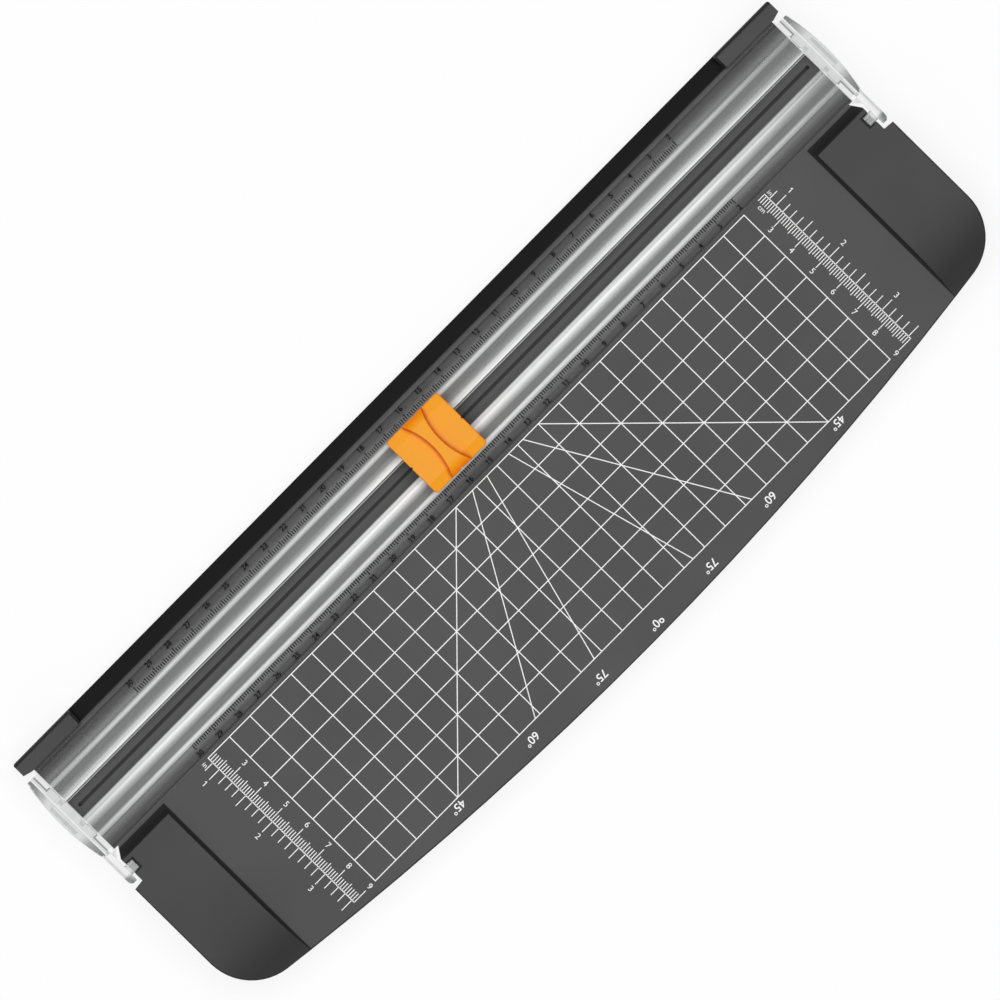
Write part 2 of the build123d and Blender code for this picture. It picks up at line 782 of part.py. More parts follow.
with BuildPart() as slider_cap:
    with BuildSketch(Plane.XY.offset(skirt_under)):
        with Locations(slider_spot):
            RectangleRounded(cap_size, cap_size, cap_corner_radius)
    extrude(amount=ridge_top - skirt_under)
    for side in (-1, 1):
        with BuildSketch(Plane.YZ.offset(slider_place)):
            with BuildLine():
                fall = CenterArc(
                    (cut_y + side * (cap_half - ridge_end_run), ridge_top - ridge_end_radius),
                    ridge_end_radius,
                    90,
                    -side * ridge_end_angle,
                )
                Polyline(
                    fall @ 1,
                    ((fall @ 1).X + side * overrun, (fall @ 1).Y),
                    ((fall @ 1).X + side * overrun, ridge_top + overrun),
                    ((fall @ 0).X, ridge_top + overrun),
                    fall @ 0,
                )
            make_face()
        extrude(amount=cap_size, both=True, mode=Mode.SUBTRACT)
    add(pad_spaces.part, mode=Mode.SUBTRACT)
    # Softened edges of the ridge and of the pads
    ridge_edges = slider_cap.edges().filter_by(
        lambda edge: edge.geom_type in (GeomType.CIRCLE, GeomType.BSPLINE)
    )
    fillet(ridge_edges.filter_by(lambda edge: edge.center().Z > pad_top + cap_edge_round), cap_edge_round)
    pad_edges = slider_cap.edges().filter_by(GeomType.LINE).filter_by(Axis.Z, reverse=True)
    pad_edges = pad_edges.filter_by(lambda edge: ceiling < edge.center().Z < pad_top + cap_edge_round)
    fillet(pad_edges.filter_by(on_cap_side), cap_edge_round)
    with BuildSketch(Plane.XY.offset(skirt_under)):
        with Locations(slider_spot):
            with PolarLocations(cap_half, 4):
                Rectangle(mark_width, mark_width, rotation=45)
    extrude(amount=ridge_top - skirt_under, mode=Mode.SUBTRACT)
    with BuildSketch(Plane.XY.offset(skirt_under)):
        with Locations(slider_spot):
            RectangleRounded(2 * cap_inner_half, 2 * cap_inner_half, cap_corner_radius)
    extrude(amount=ceiling - skirt_under, mode=Mode.SUBTRACT)
    with BuildSketch(Plane.XY.offset(ceiling - holder_flange_thickness)):
        with Locations(*stake_spots):
            Circle(stake_diameter / 2)
    extrude(amount=holder_flange_thickness)
save(slider_cap, "slider_cap")

# Blade holder: hangs from the ceiling of the cap, with barbs that stop it at the top of its travel
holder_top = ceiling - holder_flange_thickness
holder_under = plate_top + holder_rise
with BuildPart() as blade_holder:
    with BuildSketch(Plane.XY.offset(holder_under)):
        with Locations(slider_spot):
            Rectangle(2 * holder_half_length, 2 * holder_half_thickness)
    extrude(amount=holder_top - holder_under)
    with BuildSketch(Plane.XY.offset(holder_top)):
        with Locations(slider_spot):
            Rectangle(2 * holder_flange_half_length, 2 * holder_flange_half_width)
        with Locations(*stake_spots):
            Circle(stake_diameter / 2 + stake_gap, mode=Mode.SUBTRACT)
    extrude(amount=holder_flange_thickness)
    for side in (-1, 1):
        with BuildSketch(Plane.XZ.offset(-cut_y)):
            with BuildLine():
                Polyline(
                    (slider_place + side * holder_half_length, plate_top + barb_low),
                    (slider_place + side * (holder_half_length + barb_reach), barb_top),
                    (slider_place + side * holder_half_length, barb_top),
                    close=True,
                )
            make_face()
        extrude(amount=barb_half_width, both=True)
    with BuildSketch(Plane.XY.offset(holder_under)):
        with Locations(slider_spot):
            Rectangle(2 * (blade_half_length + blade_gap), blade_thickness + 2 * blade_gap)
    extrude(amount=plate_top + blade_top + blade_gap - holder_under, mode=Mode.SUBTRACT)
    with BuildSketch(rivet_plane):
        Circle(rivet_diameter / 2 + rivet_gap)
    extrude(amount=holder_half_thickness, both=True, mode=Mode.SUBTRACT)
save(blade_holder, "blade_holder")

# Pointed blade, sharpened on both lower edges so that it cuts either way
with BuildPart() as cutter_blade:
    with BuildSketch(Plane.XZ.offset(-cut_y)):
        with BuildLine():
            Polyline(
                (slider_place - blade_half_length, plate_top + blade_top),
                (slider_place + blade_half_length, plate_top + blade_top),
                (slider_place + blade_half_length, plate_top + blade_shoulder),
                (slider_place, plate_top + blade_tip),
                (slider_place - blade_half_length, plate_top + blade_shoulder),
                close=True,
            )
        make_face()
    extrude(amount=blade_thickness / 2, both=True)
    cutting_faces = [face for face in cutter_blade.faces() if -1 < face.normal_at().Z < 0]
    cutting_edges = [edge for face in cutting_faces for edge in face.edges().filter_by(Axis.Y, reverse=True)]
    chamfer(cutting_edges, blade_grind)
    with BuildSketch(rivet_plane):
        Circle(rivet_diameter / 2 + rivet_gap)
    extrude(amount=blade_thickness, both=True, mode=Mode.SUBTRACT)
save(cutter_blade, "cutter_blade")

# Rivet that holds the blade in the split end of its holder
with BuildPart() as blade_rivet:
    with BuildSketch(rivet_plane):
        Circle(rivet_diameter / 2)
    extrude(amount=holder_half_thickness, both=True)
    chamfer(blade_rivet.edges().filter_by(GeomType.CIRCLE), rivet_chamfer)
save(blade_rivet, "blade_rivet")


def biarc(start, start_tangent, end, end_tangent):
    """Two tangent arcs from one point and direction to another."""
    span = end - start
    both_ways = start_tangent + end_tangent
    bend = 2 * (1 - start_tangent.dot(end_tangent))
    forward = span.dot(both_ways)
    reach = (sqrt(forward**2 + bend * span.dot(span)) - forward) / bend
    middle = (start + end + (start_tangent - end_tangent) * reach) / 2
    middle_tangent = (middle - start - start_tangent * reach).normalized()
    TangentArc(start, middle, tangent=start_tangent)
    TangentArc(middle, end, tangent=middle_tangent)


def least_gap(points, skipped, wire):
    """Smallest space between two stretches of wire that lie at least so many points apart."""
    distances = [
        (points[later] - points[first]).length
        for first in range(len(points))
        for later in range(first + skipped, len(points))
    ]
    return min(distances) - wire


# Return springs between the saddle and the ceiling of the cap
spring_low = spring_floor + spring_wire / 2 + spring_end_gap
spring_high = ceiling - spring_wire / 2 - spring_end_gap
spring_pitch = (spring_high - spring_low) / spring_turns
spring_radius = spring_mean_diameter / 2
for spring_name, (spring_x, spring_y) in zip(("return_spring_front", "return_spring_rear"), spring_spots):
    stations = []
    for quarter in range(4 * spring_turns + 1):
        turn = quarter * pi / 2
        spot = Vector(
            spring_x + spring_radius * cos(turn),
            spring_y + spring_radius * sin(turn),
            spring_low + spring_pitch * quarter / 4,
        )
        heading = Vector(-spring_radius * sin(turn), spring_radius * cos(turn), spring_pitch / (2 * pi))
        stations.append((spot, heading.normalized()))
    with BuildPart() as spring:
        with BuildLine() as wire_path:
            for (spot, heading), (next_spot, next_heading) in zip(stations, stations[1:]):
                biarc(spot, heading, next_spot, next_heading)
        with BuildSketch(Plane(stations[0][0], z_dir=stations[0][1])):
            Circle(spring_wire / 2)
        sweep()
    spring_points = [edge @ share for edge in wire_path.edges() for share in spring_sample_shares]
    half_turn = 2 * 2 * len(spring_sample_shares)
    print(spring_name, "least gap", round(least_gap(spring_points, half_turn, spring_wire), 2))
    save(spring, spring_name)
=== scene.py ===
from math import ceil, radians, tan

import bmesh
import bpy
from mathutils import Matrix, Vector


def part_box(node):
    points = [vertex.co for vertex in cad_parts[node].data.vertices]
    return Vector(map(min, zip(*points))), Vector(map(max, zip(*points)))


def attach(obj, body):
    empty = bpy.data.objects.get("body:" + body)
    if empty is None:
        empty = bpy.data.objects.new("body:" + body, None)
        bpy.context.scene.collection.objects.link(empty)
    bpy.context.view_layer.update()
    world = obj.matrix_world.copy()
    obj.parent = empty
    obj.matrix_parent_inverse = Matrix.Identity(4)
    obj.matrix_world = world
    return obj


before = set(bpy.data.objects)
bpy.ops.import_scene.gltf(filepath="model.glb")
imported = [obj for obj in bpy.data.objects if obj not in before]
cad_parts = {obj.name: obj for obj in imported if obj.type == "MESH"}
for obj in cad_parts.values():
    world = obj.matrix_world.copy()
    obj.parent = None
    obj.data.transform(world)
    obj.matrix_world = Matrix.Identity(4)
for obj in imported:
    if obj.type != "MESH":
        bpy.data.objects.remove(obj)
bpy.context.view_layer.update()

bl_info = {
    "name": "Paper Trimmer Looks",
    "version": (1, 0, 0),
    "blender": (4, 5, 0),
    "location": "View3D > Sidebar > Trimmer",
    "description": "Gives the packed paper trimmer its print, its finishes, a stage and a camera",
    "category": "Object",
}

MM = 0.001

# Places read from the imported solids, in metres
strip_low, strip_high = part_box("cutting_strip")
plate_top = strip_high.z
cut_y = (strip_low.y + strip_high.y) / 2
groove_hole_x = strip_high.x - 3.1 * MM
rail_low, rail_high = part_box("rear_rail")
rail_under = rail_low.z
rail_half_length = rail_high.x
rail_half_depth = rail_high.y - cut_y
rib_hollow_outer = 11.05 * MM
cap_wall_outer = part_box("right_end_cap")[1].x - 3.16 * MM
seam_floor, grip_floor, pocket_floor = plate_top + 1.8 * MM, plate_top + 2.4 * MM, plate_top + 7.5 * MM
seam_x = rail_half_length + 1.6 * MM
arm_inner, arm_outer = strip_high.x + 1.95 * MM, strip_high.x + 4.75 * MM
peg_end = strip_high.x - 1.65 * MM
tip_low, tip_high = -29.0 * MM, -28.0 * MM
slope_gap = 0.95 * MM

# What a clear bar shows by the distance from the cut line in millimetres: a tone and how much it covers.
# Painted light and shade: the thick walls are painted white as if they piped light, the web between them is
# clearer, the flange dims the deck below, and a dark band lies along the flange's outer edge.
FRONT_TONES = (
    (3.7, "#FFFFFF", 0.01),
    (4.3, "#FFFFFF", 0.46),
    (4.9, "#FFFFFF", 0.50),
    (5.7, "#FFFFFF", 0.88),
    (6.8, "#FFFFFF", 0.48),
    (7.6, "#FFFFFF", 0.23),
    (8.6, "#FFFFFF", 0.09),
    (10.7, "#FFFFFF", 0.085),
    (11.3, "#FFFFFF", 0.56),
    (12.0, "#FFFFFF", 0.72),
    (12.6, "#FFFFFF", 0.84),
    (12.95, "#A8A8A8", 0.32),
    (13.6, "#A8A8A8", 0.38),
    (14.1, "#A8A8A8", 0.33),
    (14.8, "#A8A8A8", 0.17),
    (15.6, "#A8A8A8", 0.068),
    (16.4, "#808080", 0.01),
    (18.0, "#080808", 0.20),
    (18.4, "#080808", 0.18),
    (18.75, "#C0C0C0", 0.015),
)
REAR_TONES = (
    (3.5, "#FFFFFF", 0.30),
    (3.75, "#FFFFFF", 0.26),
    (3.95, "#FFFFFF", 0.0),
    (4.15, "#FFFFFF", 0.0),
    (4.35, "#FFFFFF", 0.90),
    (4.8, "#FFFFFF", 0.93),
    (5.2, "#FFFFFF", 0.66),
    (6.0, "#FFFFFF", 0.47),
    (6.9, "#FFFFFF", 0.15),
    (8.2, "#FFFFFF", 0.08),
    (10.2, "#FFFFFF", 0.08),
    (11.1, "#FFFFFF", 0.50),
    (11.6, "#FFFFFF", 0.50),
    (12.5, "#A8A8A8", 0.48),
    (12.9, "#A8A8A8", 0.45),
    (13.7, "#A8A8A8", 0.36),
    (14.1, "#A8A8A8", 0.26),
    (14.8, "#A8A8A8", 0.12),
    (15.6, "#A8A8A8", 0.036),
    (16.4, "#808080", 0.01),
    (17.8, "#080808", 0.18),
    (18.2, "#080808", 0.17),
    (18.7, "#C0C0C0", 0.015),
)

# How bright the painted light in the white walls of a bar is, from its left end to its right end
BAR_LEVELS = ((0.0, 0.62), (0.11, 0.96), (0.17, 1.0), (0.78, 1.0), (0.89, 0.76), (1.0, 0.34))

# White covers above one part in this many fade fully towards the ends of a bar
FADE_GAIN = 3.0

# Cover of a bar's last stretch, past the end of the deck
END_COVER = 0.12

# How much an end cap covers, by the distance from the cut line in millimetres: front arm, tab, back.
# The heavier cover towards the ends of the tab and the tip of the arm is painted shade of their curved faces.
CAP_COVERS = (
    (-31.0, 0.98),
    (-29.6, 0.90),
    (-28.2, 0.12),
    (-18.6, 0.06),
    (-18.2, 0.82),
    (-14.0, 0.60),
    (-8.0, 0.19),
    (8.0, 0.18),
    (14.0, 0.55),
    (17.8, 0.80),
)

# How much the wall of an end cap covers, from the end of the strip to the foot of the tab
WALL_COVERS = ((0.0, 0.18), (0.80, 0.18), (0.87, 0.06), (1.0, 0.06))

# Shares in the end caps: cover of the wall's legs and of an arm's inner side, against the painted shade of
# its outer side, painted shade that the floors of the seams and of the grip add to the cover, painted light
# at an arm's tip and of a peg in its notch, and cover that painted edge light adds
LEG_COVER, ARM_INNER_COVER = 0.45, 0.25
SEAM_SHADE, GRIP_SHADE = 0.62, 0.22
TIP_LIGHT, PEG_LIGHT, RIM_COVER = 0.2, 0.7, 0.5

# Slack in comparing places, and how far upward the normal of a level face points
SLACK = 0.1 * MM
LEVEL_NORMAL = 0.9

# Light of the room by the height above the horizon, as shares of its level: pale far wall, dim walls, ceiling
ROOM_LEVELS = ((0.0, 2.0), (0.03, 2.0), (0.06, 0.25), (0.35, 0.35), (1.0, 1.0))

# Angle lines: degrees, grid column where the line starts, then where its label stands and how far in front
ANGLE_LINES = (
    (45, 11.01, 3.77, 92.3),
    (60, 11.81, 7.18, 94.0),
    (75, 12.51, 10.33, 95.7),
    (90, None, 13.0, 96.4),
    (75, 13.56, 15.67, 95.7),
    (60, 14.25, 18.69, 94.0),
    (45, 15.0, 22.2, 92.3),
)

# Shares of the type size of Blender's own font: height of a figure and the room it takes along the line.
# The font's 1 is a bare bar, so its flag is drawn: its ends from the figure's middle, and its width.
FIGURE_SHARE = 0.72
FIGURE_ROOM = 0.5
ONE_FLAG = ((0.0, 0.34), (-0.19, 0.2))
ONE_FLAG_WIDTH = 0.09

# Side rulers in millimetres: reach of the ticks from the spine at full, half and tenth centimetres and at
# half and eighth inches, and how far from it the centimetre figures, the inch figures and the inch sign stand
CM_TICKS = (5.6, 3.9, 3.15)
INCH_TICKS = (5.0, 3.8)
LEFT_FIGURES = (7.55, 7.1, 2.5)
RIGHT_FIGURES = (7.2, 7.1, 1.6)
CM_UNIT_REACH = 4.3
INCH_UNIT_AHEAD, CM_UNIT_AHEAD = 20.9, 22.9
INCH = 25.4 * MM

# Rail rulers in millimetres: reach of the ticks, and how far from the cut line they start and figures stand
RAIL_TICKS = (2.3, 1.9, 1.5)
RAIL_TICK_START, RAIL_FIGURE_LINE = 12.85, 17.0
RAIL_FIRST, RAIL_LAST = 2, 30

# Share of the floor's white that takes no shadow
FLOOR_GLOW = 0.85


def linear(code):
    """Linear colour of an sRGB hex code."""
    shares = [int(code[place:place + 2], 16) / 255 for place in (1, 3, 5)]
    return [share / 12.92 if share <= 0.04045 else ((share + 0.055) / 1.055) ** 2.4 for share in shares]


def per_metre(millimetres):
    """Texture scale that gives a pattern this size."""
    return 1 / (millimetres * MM)


class TrimmerPrint(bpy.types.PropertyGroup):
    """Sizes of what is printed on the deck and the rail."""

    grid_step: bpy.props.FloatProperty(
        name="Grid step", description="Distance between grid lines",
        default=10 * MM, unit="LENGTH", precision=4
    )
    grid_left: bpy.props.FloatProperty(
        name="Grid left", description="X of the first upright grid line",
        default=-124.4 * MM, unit="LENGTH", precision=4
    )
    grid_columns: bpy.props.IntProperty(name="Columns", description="Grid cells along the rail", default=25)
    grid_start: bpy.props.FloatProperty(
        name="Grid start", description="From the cut line to the first level line",
        default=20 * MM, unit="LENGTH", precision=4
    )
    grid_end: bpy.props.FloatProperty(
        name="Grid end", description="From the cut line to the last level line",
        default=90 * MM, unit="LENGTH", precision=4
    )
    left_spine: bpy.props.FloatProperty(
        name="Left ruler", description="Grid column of the left ruler's spine", default=-1.03
    )
    right_spine: bpy.props.FloatProperty(
        name="Right ruler", description="Grid column of the right ruler's spine", default=26.0
    )
    line_width: bpy.props.FloatProperty(
        name="Line", description="Width of a grid line", default=0.34 * MM, unit="LENGTH", precision=5
    )
    tick_width: bpy.props.FloatProperty(
        name="Tick", description="Width of a ruler tick", default=0.3 * MM, unit="LENGTH", precision=5
    )
    ink_height: bpy.props.FloatProperty(
        name="Ink", description="Thickness of the ink", default=0.03 * MM, unit="LENGTH", precision=6
    )
    angle_label: bpy.props.FloatProperty(
        name="Angle label", description="Height of the angle figures",
        default=2.95 * MM, unit="LENGTH", precision=4
    )
    ruler_label: bpy.props.FloatProperty(
        name="Ruler label", description="Height of the ruler figures",
        default=2.2 * MM, unit="LENGTH", precision=4
    )
    unit_label: bpy.props.FloatProperty(
        name="Unit label", description="Height of the rulers' units",
        default=1.8 * MM, unit="LENGTH", precision=4
    )
    rail_tick: bpy.props.FloatProperty(
        name="Rail tick", description="Width of a tick of the rail ruler",
        default=0.37 * MM, unit="LENGTH", precision=5
    )
    rail_label: bpy.props.FloatProperty(
        name="Rail label", description="Height of the rail figures",
        default=1.9 * MM, unit="LENGTH", precision=4
    )
    rail_right: bpy.props.FloatProperty(
        name="Rail ruler right", description="X of the rail ruler's first figure",
        default=126.4 * MM, unit="LENGTH", precision=4
    )
    rail_step: bpy.props.FloatProperty(
        name="Rail ruler step", description="Distance between the rail ruler's figures",
        default=9.35 * MM, unit="LENGTH", precision=4
    )
    boldness: bpy.props.FloatProperty(
        name="Boldness", description="How much the figures are thickened",
        default=0.04 * MM, unit="LENGTH", precision=6
    )
    flange_thickness: bpy.props.FloatProperty(
        name="Flange", description="Thickness of the rail's flange, which carries its print",
        default=2.0 * MM, unit="LENGTH"
    )


class TrimmerColours(bpy.types.PropertyGroup):
    """Colours of the finishes."""

    deck: bpy.props.FloatVectorProperty(
        name="Deck", description="Grained plastic of the deck", default=linear("#333333"), subtype="COLOR"
    )
    deck_raised: bpy.props.FloatVectorProperty(
        name="Guides", description="Grained plastic of the raised guides and blocks",
        default=linear("#1F1F1F"), subtype="COLOR"
    )
    # Painted shade: the back slope tilts away from the light and is painted almost black
    deck_smooth: bpy.props.FloatVectorProperty(
        name="Back slope", description="Smooth plastic of the back slope",
        default=linear("#161616"), subtype="COLOR"
    )
    strip: bpy.props.FloatVectorProperty(
        name="Strip", description="Cutting strip", default=linear("#3C3C3C"), subtype="COLOR"
    )
    # Painted shade inside the strip's groove
    strip_groove: bpy.props.FloatVectorProperty(
        name="Groove", description="Inside of the strip's groove", default=linear("#2A2A2A"), subtype="COLOR"
    )
    rubber: bpy.props.FloatVectorProperty(
        name="Feet", description="Rubber of the feet", default=linear("#1B1B1B"), subtype="COLOR"
    )
    # Colour of the painted light in the clear plastic, in the rail and at the end caps' edges
    clear: bpy.props.FloatVectorProperty(
        name="Rail", description="What light in the clear plastic looks like",
        default=linear("#FAFBFB"), subtype="COLOR"
    )
    clear_end: bpy.props.FloatVectorProperty(
        name="Rail ends", description="Clear plastic of the end caps",
        default=linear("#6C7072"), subtype="COLOR"
    )
    orange: bpy.props.FloatVectorProperty(
        name="Slider", description="Press cap of the slider", default=linear("#EE9B14"), subtype="COLOR"
    )
    # Painted shade where the press cap slopes away from the light
    orange_deep: bpy.props.FloatVectorProperty(
        name="Slider flanks", description="Press cap where it slopes away",
        default=linear("#F07C00"), subtype="COLOR"
    )
    # Painted shade in the creases beside the ridge
    orange_crease: bpy.props.FloatVectorProperty(
        name="Slider creases", description="Press cap beside the ridge",
        default=linear("#CE5E00"), subtype="COLOR"
    )
    shuttle: bpy.props.FloatVectorProperty(
        name="Shuttle", description="Inside of the slider", default=linear("#1C1C1E"), subtype="COLOR"
    )
    steel: bpy.props.FloatVectorProperty(
        name="Steel", description="Blade, springs and rivet", default=linear("#BFC1C3"), subtype="COLOR"
    )
    white_ink: bpy.props.FloatVectorProperty(
        name="Deck print", description="Ink of the grid and rulers",
        default=linear("#F2F2F2"), subtype="COLOR"
    )
    dark_ink: bpy.props.FloatVectorProperty(
        name="Rail print", description="Ink of the rail's rulers", default=linear("#0C0C0C"), subtype="COLOR"
    )
    floor: bpy.props.FloatVectorProperty(
        name="Floor", description="Floor of the stage", default=linear("#FAFAFA"), subtype="COLOR"
    )


class TrimmerStage(bpy.types.PropertyGroup):
    """Camera and light."""

    view_width: bpy.props.FloatProperty(
        name="View", description="Width of the picture at the deck",
        default=341.2 * MM, unit="LENGTH", precision=4
    )
    view_turn: bpy.props.FloatProperty(
        name="Turn", description="Turn of the camera about the upright axis",
        default=radians(-45.38), subtype="ANGLE"
    )
    aim: bpy.props.FloatVectorProperty(
        name="Aim", description="Place on the deck at the middle of the picture", size=2,
        default=(-2.05 * MM, 8.36 * MM), subtype="TRANSLATION", unit="LENGTH", precision=4
    )
    lens: bpy.props.FloatProperty(
        name="Lens", description="Focal length in millimetres, long so that the view has no perspective",
        default=1000
    )
    floor_size: bpy.props.FloatProperty(
        name="Floor", description="Side of the floor", default=12.0, unit="LENGTH"
    )
    overhead_power: bpy.props.FloatProperty(
        name="Overhead", description="Soft lamp above the deck", default=13.6, unit="POWER"
    )
    side_power: bpy.props.FloatProperty(
        name="Side", description="Soft lamp in front and to the left", default=2.5, unit="POWER"
    )
    sky: bpy.props.FloatProperty(
        name="Room", description="Level of the room's light from above", default=0.45
    )


def add_node(tree, kind, settings=None, inputs=None):
    """Add a node with its settings, and set or link its inputs by name or number."""
    made = tree.nodes.new(kind)
    for name, value in (settings or {}).items():
        setattr(made, name, value)
    for name, value in (inputs or {}).items():
        if isinstance(value, bpy.types.NodeSocket):
            tree.links.new(value, made.inputs[name])
        else:
            made.inputs[name].default_value = value
    return made


def begin_material(name):
    """A new material with its node tree, its shader, and the piece's own coordinates."""
    made = bpy.data.materials.new(name)
    made.use_nodes = True
    tree = made.node_tree
    tree.nodes.clear()
    shader = add_node(tree, "ShaderNodeBsdfPrincipled")
    add_node(tree, "ShaderNodeOutputMaterial", inputs={"Surface": shader.outputs[0]})
    place = add_node(tree, "ShaderNodeTexCoord").outputs["Object"]
    return made, tree, shader, place


def add_ramp(tree, value, stops):
    """A ramp of colours with alpha over a value from 0 to 1."""
    made = add_node(tree, "ShaderNodeValToRGB", inputs={0: value})
    elements = made.color_ramp.elements
    while len(elements) < len(stops):
        elements.new(1.0)
    for element, (position, colour) in zip(elements, stops):
        element.position = position
        element.color = colour
    return made


def opaque(colour):
    """A colour with its alpha."""
    return (*colour, 1.0)


def greys(stops):
    """Ramp stops of plain greys, from pairs of a place and a share."""
    return [(position, (share, share, share, 1.0)) for position, share in stops]


# Settings of Math nodes that are used often
MULTIPLY = {"operation": "MULTIPLY"}
LESS_THAN = {"operation": "LESS_THAN"}
GREATER_THAN = {"operation": "GREATER_THAN"}

# Where the values of two summed noises lie, and those of one
NOISE_SPAN = {"From Min": 0.4, "From Max": 1.1}
STREAK_SPAN = {"From Min": 0.3, "From Max": 0.7}


def finish_surface(tree, shader, place, colour, grain, cloud, tint, rough, depth):
    """Grain of a moulded surface: a fine bump, and slow changes in colour and gloss.

    grain and cloud are sizes in millimetres, tint is the share by which the colour changes,
    rough is the range of roughness, and depth is the height of the grain in millimetres.
    """
    fine = add_node(
        tree, "ShaderNodeTexNoise",
        inputs={"Vector": place, "Scale": per_metre(grain), "Detail": 3.0, "Roughness": 0.6}
    )
    slow = add_node(
        tree, "ShaderNodeTexNoise", inputs={"Vector": place, "Scale": per_metre(cloud), "Detail": 2.0}
    )
    both = add_node(
        tree, "ShaderNodeMath", {"operation": "MULTIPLY_ADD"},
        {0: fine.outputs[0], 1: 0.5, 2: slow.outputs[0]}
    )
    shade = add_node(
        tree, "ShaderNodeMapRange",
        inputs={**NOISE_SPAN, "Value": both.outputs[0], "To Min": 1 - tint, "To Max": 1 + tint}
    )
    tinted = add_node(
        tree, "ShaderNodeVectorMath", {"operation": "SCALE"}, {0: colour, "Scale": shade.outputs[0]}
    )
    tree.links.new(tinted.outputs[0], shader.inputs["Base Color"])
    gloss = add_node(
        tree, "ShaderNodeMapRange",
        inputs={**NOISE_SPAN, "Value": both.outputs[0], "To Min": rough[0], "To Max": rough[1]}
    )
    tree.links.new(gloss.outputs[0], shader.inputs["Roughness"])
    bump = add_node(
        tree, "ShaderNodeBump", inputs={"Height": fine.outputs[0], "Strength": 1.0, "Distance": depth * MM}
    )
    tree.links.new(bump.outputs[0], shader.inputs["Normal"])


def grained_abs(colours):
    """ABS, moulded in a spark-eroded tool.

    The eye sees a dark grey skin with a fine even grain that spreads the light of the room.
    The grain is 0.2 mm on the real deck, and is drawn at 0.5 mm so that it shows.
    The raised guides are a little darker, and the back slope is painted almost black as shade, since it tilts
    away from the light.
    """
    made, tree, shader, place = begin_material("ABS, moulded with a fine grain")
    apart = add_node(tree, "ShaderNodeSeparateXYZ", inputs={0: place})
    # Painted shade: the back slope behind the rail, below the plate, gets a near-black colour and less sheen
    behind_rail = add_node(
        tree, "ShaderNodeMath", GREATER_THAN,
        {0: apart.outputs["Y"], 1: cut_y + rail_half_depth + slope_gap}
    )
    below_plate = add_node(
        tree, "ShaderNodeMath", LESS_THAN, {0: apart.outputs["Z"], 1: plate_top + SLACK}
    )
    on_slope = add_node(
        tree, "ShaderNodeMath", MULTIPLY,
        {0: behind_rail.outputs[0], 1: below_plate.outputs[0]}
    )
    raised = add_node(
        tree, "ShaderNodeMapRange",
        inputs={"Value": apart.outputs["Z"], "From Min": plate_top + 0.5 * MM, "From Max": plate_top + 4 * MM}
    )
    level_colour = add_node(
        tree, "ShaderNodeMix", {"data_type": "RGBA"},
        {"Factor": raised.outputs[0], 6: opaque(colours.deck), 7: opaque(colours.deck_raised)}
    )
    colour = add_node(
        tree, "ShaderNodeMix", {"data_type": "RGBA"},
        {"Factor": on_slope.outputs[0], 6: level_colour.outputs[2], 7: opaque(colours.deck_smooth)}
    )
    sheen = add_node(
        tree, "ShaderNodeMapRange",
        inputs={"Value": on_slope.outputs[0], "To Min": 0.33, "To Max": 0.08}
    )
    tree.links.new(sheen.outputs[0], shader.inputs["Specular IOR Level"])
    finish_surface(
        tree, shader, place, colour.outputs[2],
        grain=0.5, cloud=35, tint=0.05, rough=(0.42, 0.52), depth=0.02
    )
    shader.inputs["IOR"].default_value = 1.53
    return made


def smooth_polypropylene(colours):
    """Polypropylene, extruded: a soft waxy grey with faint lines along the strip, and painted shade in the
    cut groove, black at the holes at its ends.
    """
    made, tree, shader, place = begin_material("Polypropylene, extruded")
    drawn = add_node(
        tree, "ShaderNodeMapping", {"vector_type": "TEXTURE"}, {"Vector": place, "Scale": (40.0, 1.0, 1.0)}
    )
    apart = add_node(tree, "ShaderNodeSeparateXYZ", inputs={0: place})
    # Painted shade: faces below the strip's top, in the groove, get a darker colour and less sheen
    in_groove = add_node(
        tree, "ShaderNodeMath", LESS_THAN, {0: apart.outputs["Z"], 1: plate_top - 0.2 * MM}
    )
    colour = add_node(
        tree, "ShaderNodeMix", {"data_type": "RGBA"},
        {"Factor": in_groove.outputs[0], 6: opaque(colours.strip), 7: opaque(colours.strip_groove)}
    )
    # Painted shade: the groove is painted black where it meets the holes at the strip's ends
    from_middle = add_node(tree, "ShaderNodeMath", {"operation": "ABSOLUTE"}, {0: apart.outputs["X"]})
    in_hole = add_node(
        tree, "ShaderNodeMath", GREATER_THAN, {0: from_middle.outputs[0], 1: groove_hole_x}
    )
    hole_shade = add_node(
        tree, "ShaderNodeMath", MULTIPLY, {0: in_hole.outputs[0], 1: in_groove.outputs[0]}
    )
    colour = add_node(
        tree, "ShaderNodeMix", {"data_type": "RGBA"},
        {"Factor": hole_shade.outputs[0], 6: colour.outputs[2], 7: (0.0, 0.0, 0.0, 1.0)}
    )
    finish_surface(
        tree, shader, drawn.outputs[0], colour.outputs[2],
        grain=0.6, cloud=6, tint=0.06, rough=(0.38, 0.5), depth=0.01
    )
    sheen = add_node(
        tree, "ShaderNodeMapRange",
        inputs={"Value": in_groove.outputs[0], "To Min": 0.3, "To Max": 0.15}
    )
    tree.links.new(sheen.outputs[0], shader.inputs["Specular IOR Level"])
    shader.inputs["IOR"].default_value = 1.49
    return made


def foot_rubber(colours):
    """Rubber, moulded: matt black with a dusty bloom."""
    made, tree, shader, place = begin_material("Rubber, moulded")
    finish_surface(
        tree, shader, place, colours.rubber[:],
        grain=0.4, cloud=5, tint=0.2, rough=(0.75, 0.9), depth=0.03
    )
    shader.inputs["IOR"].default_value = 1.52
    return made


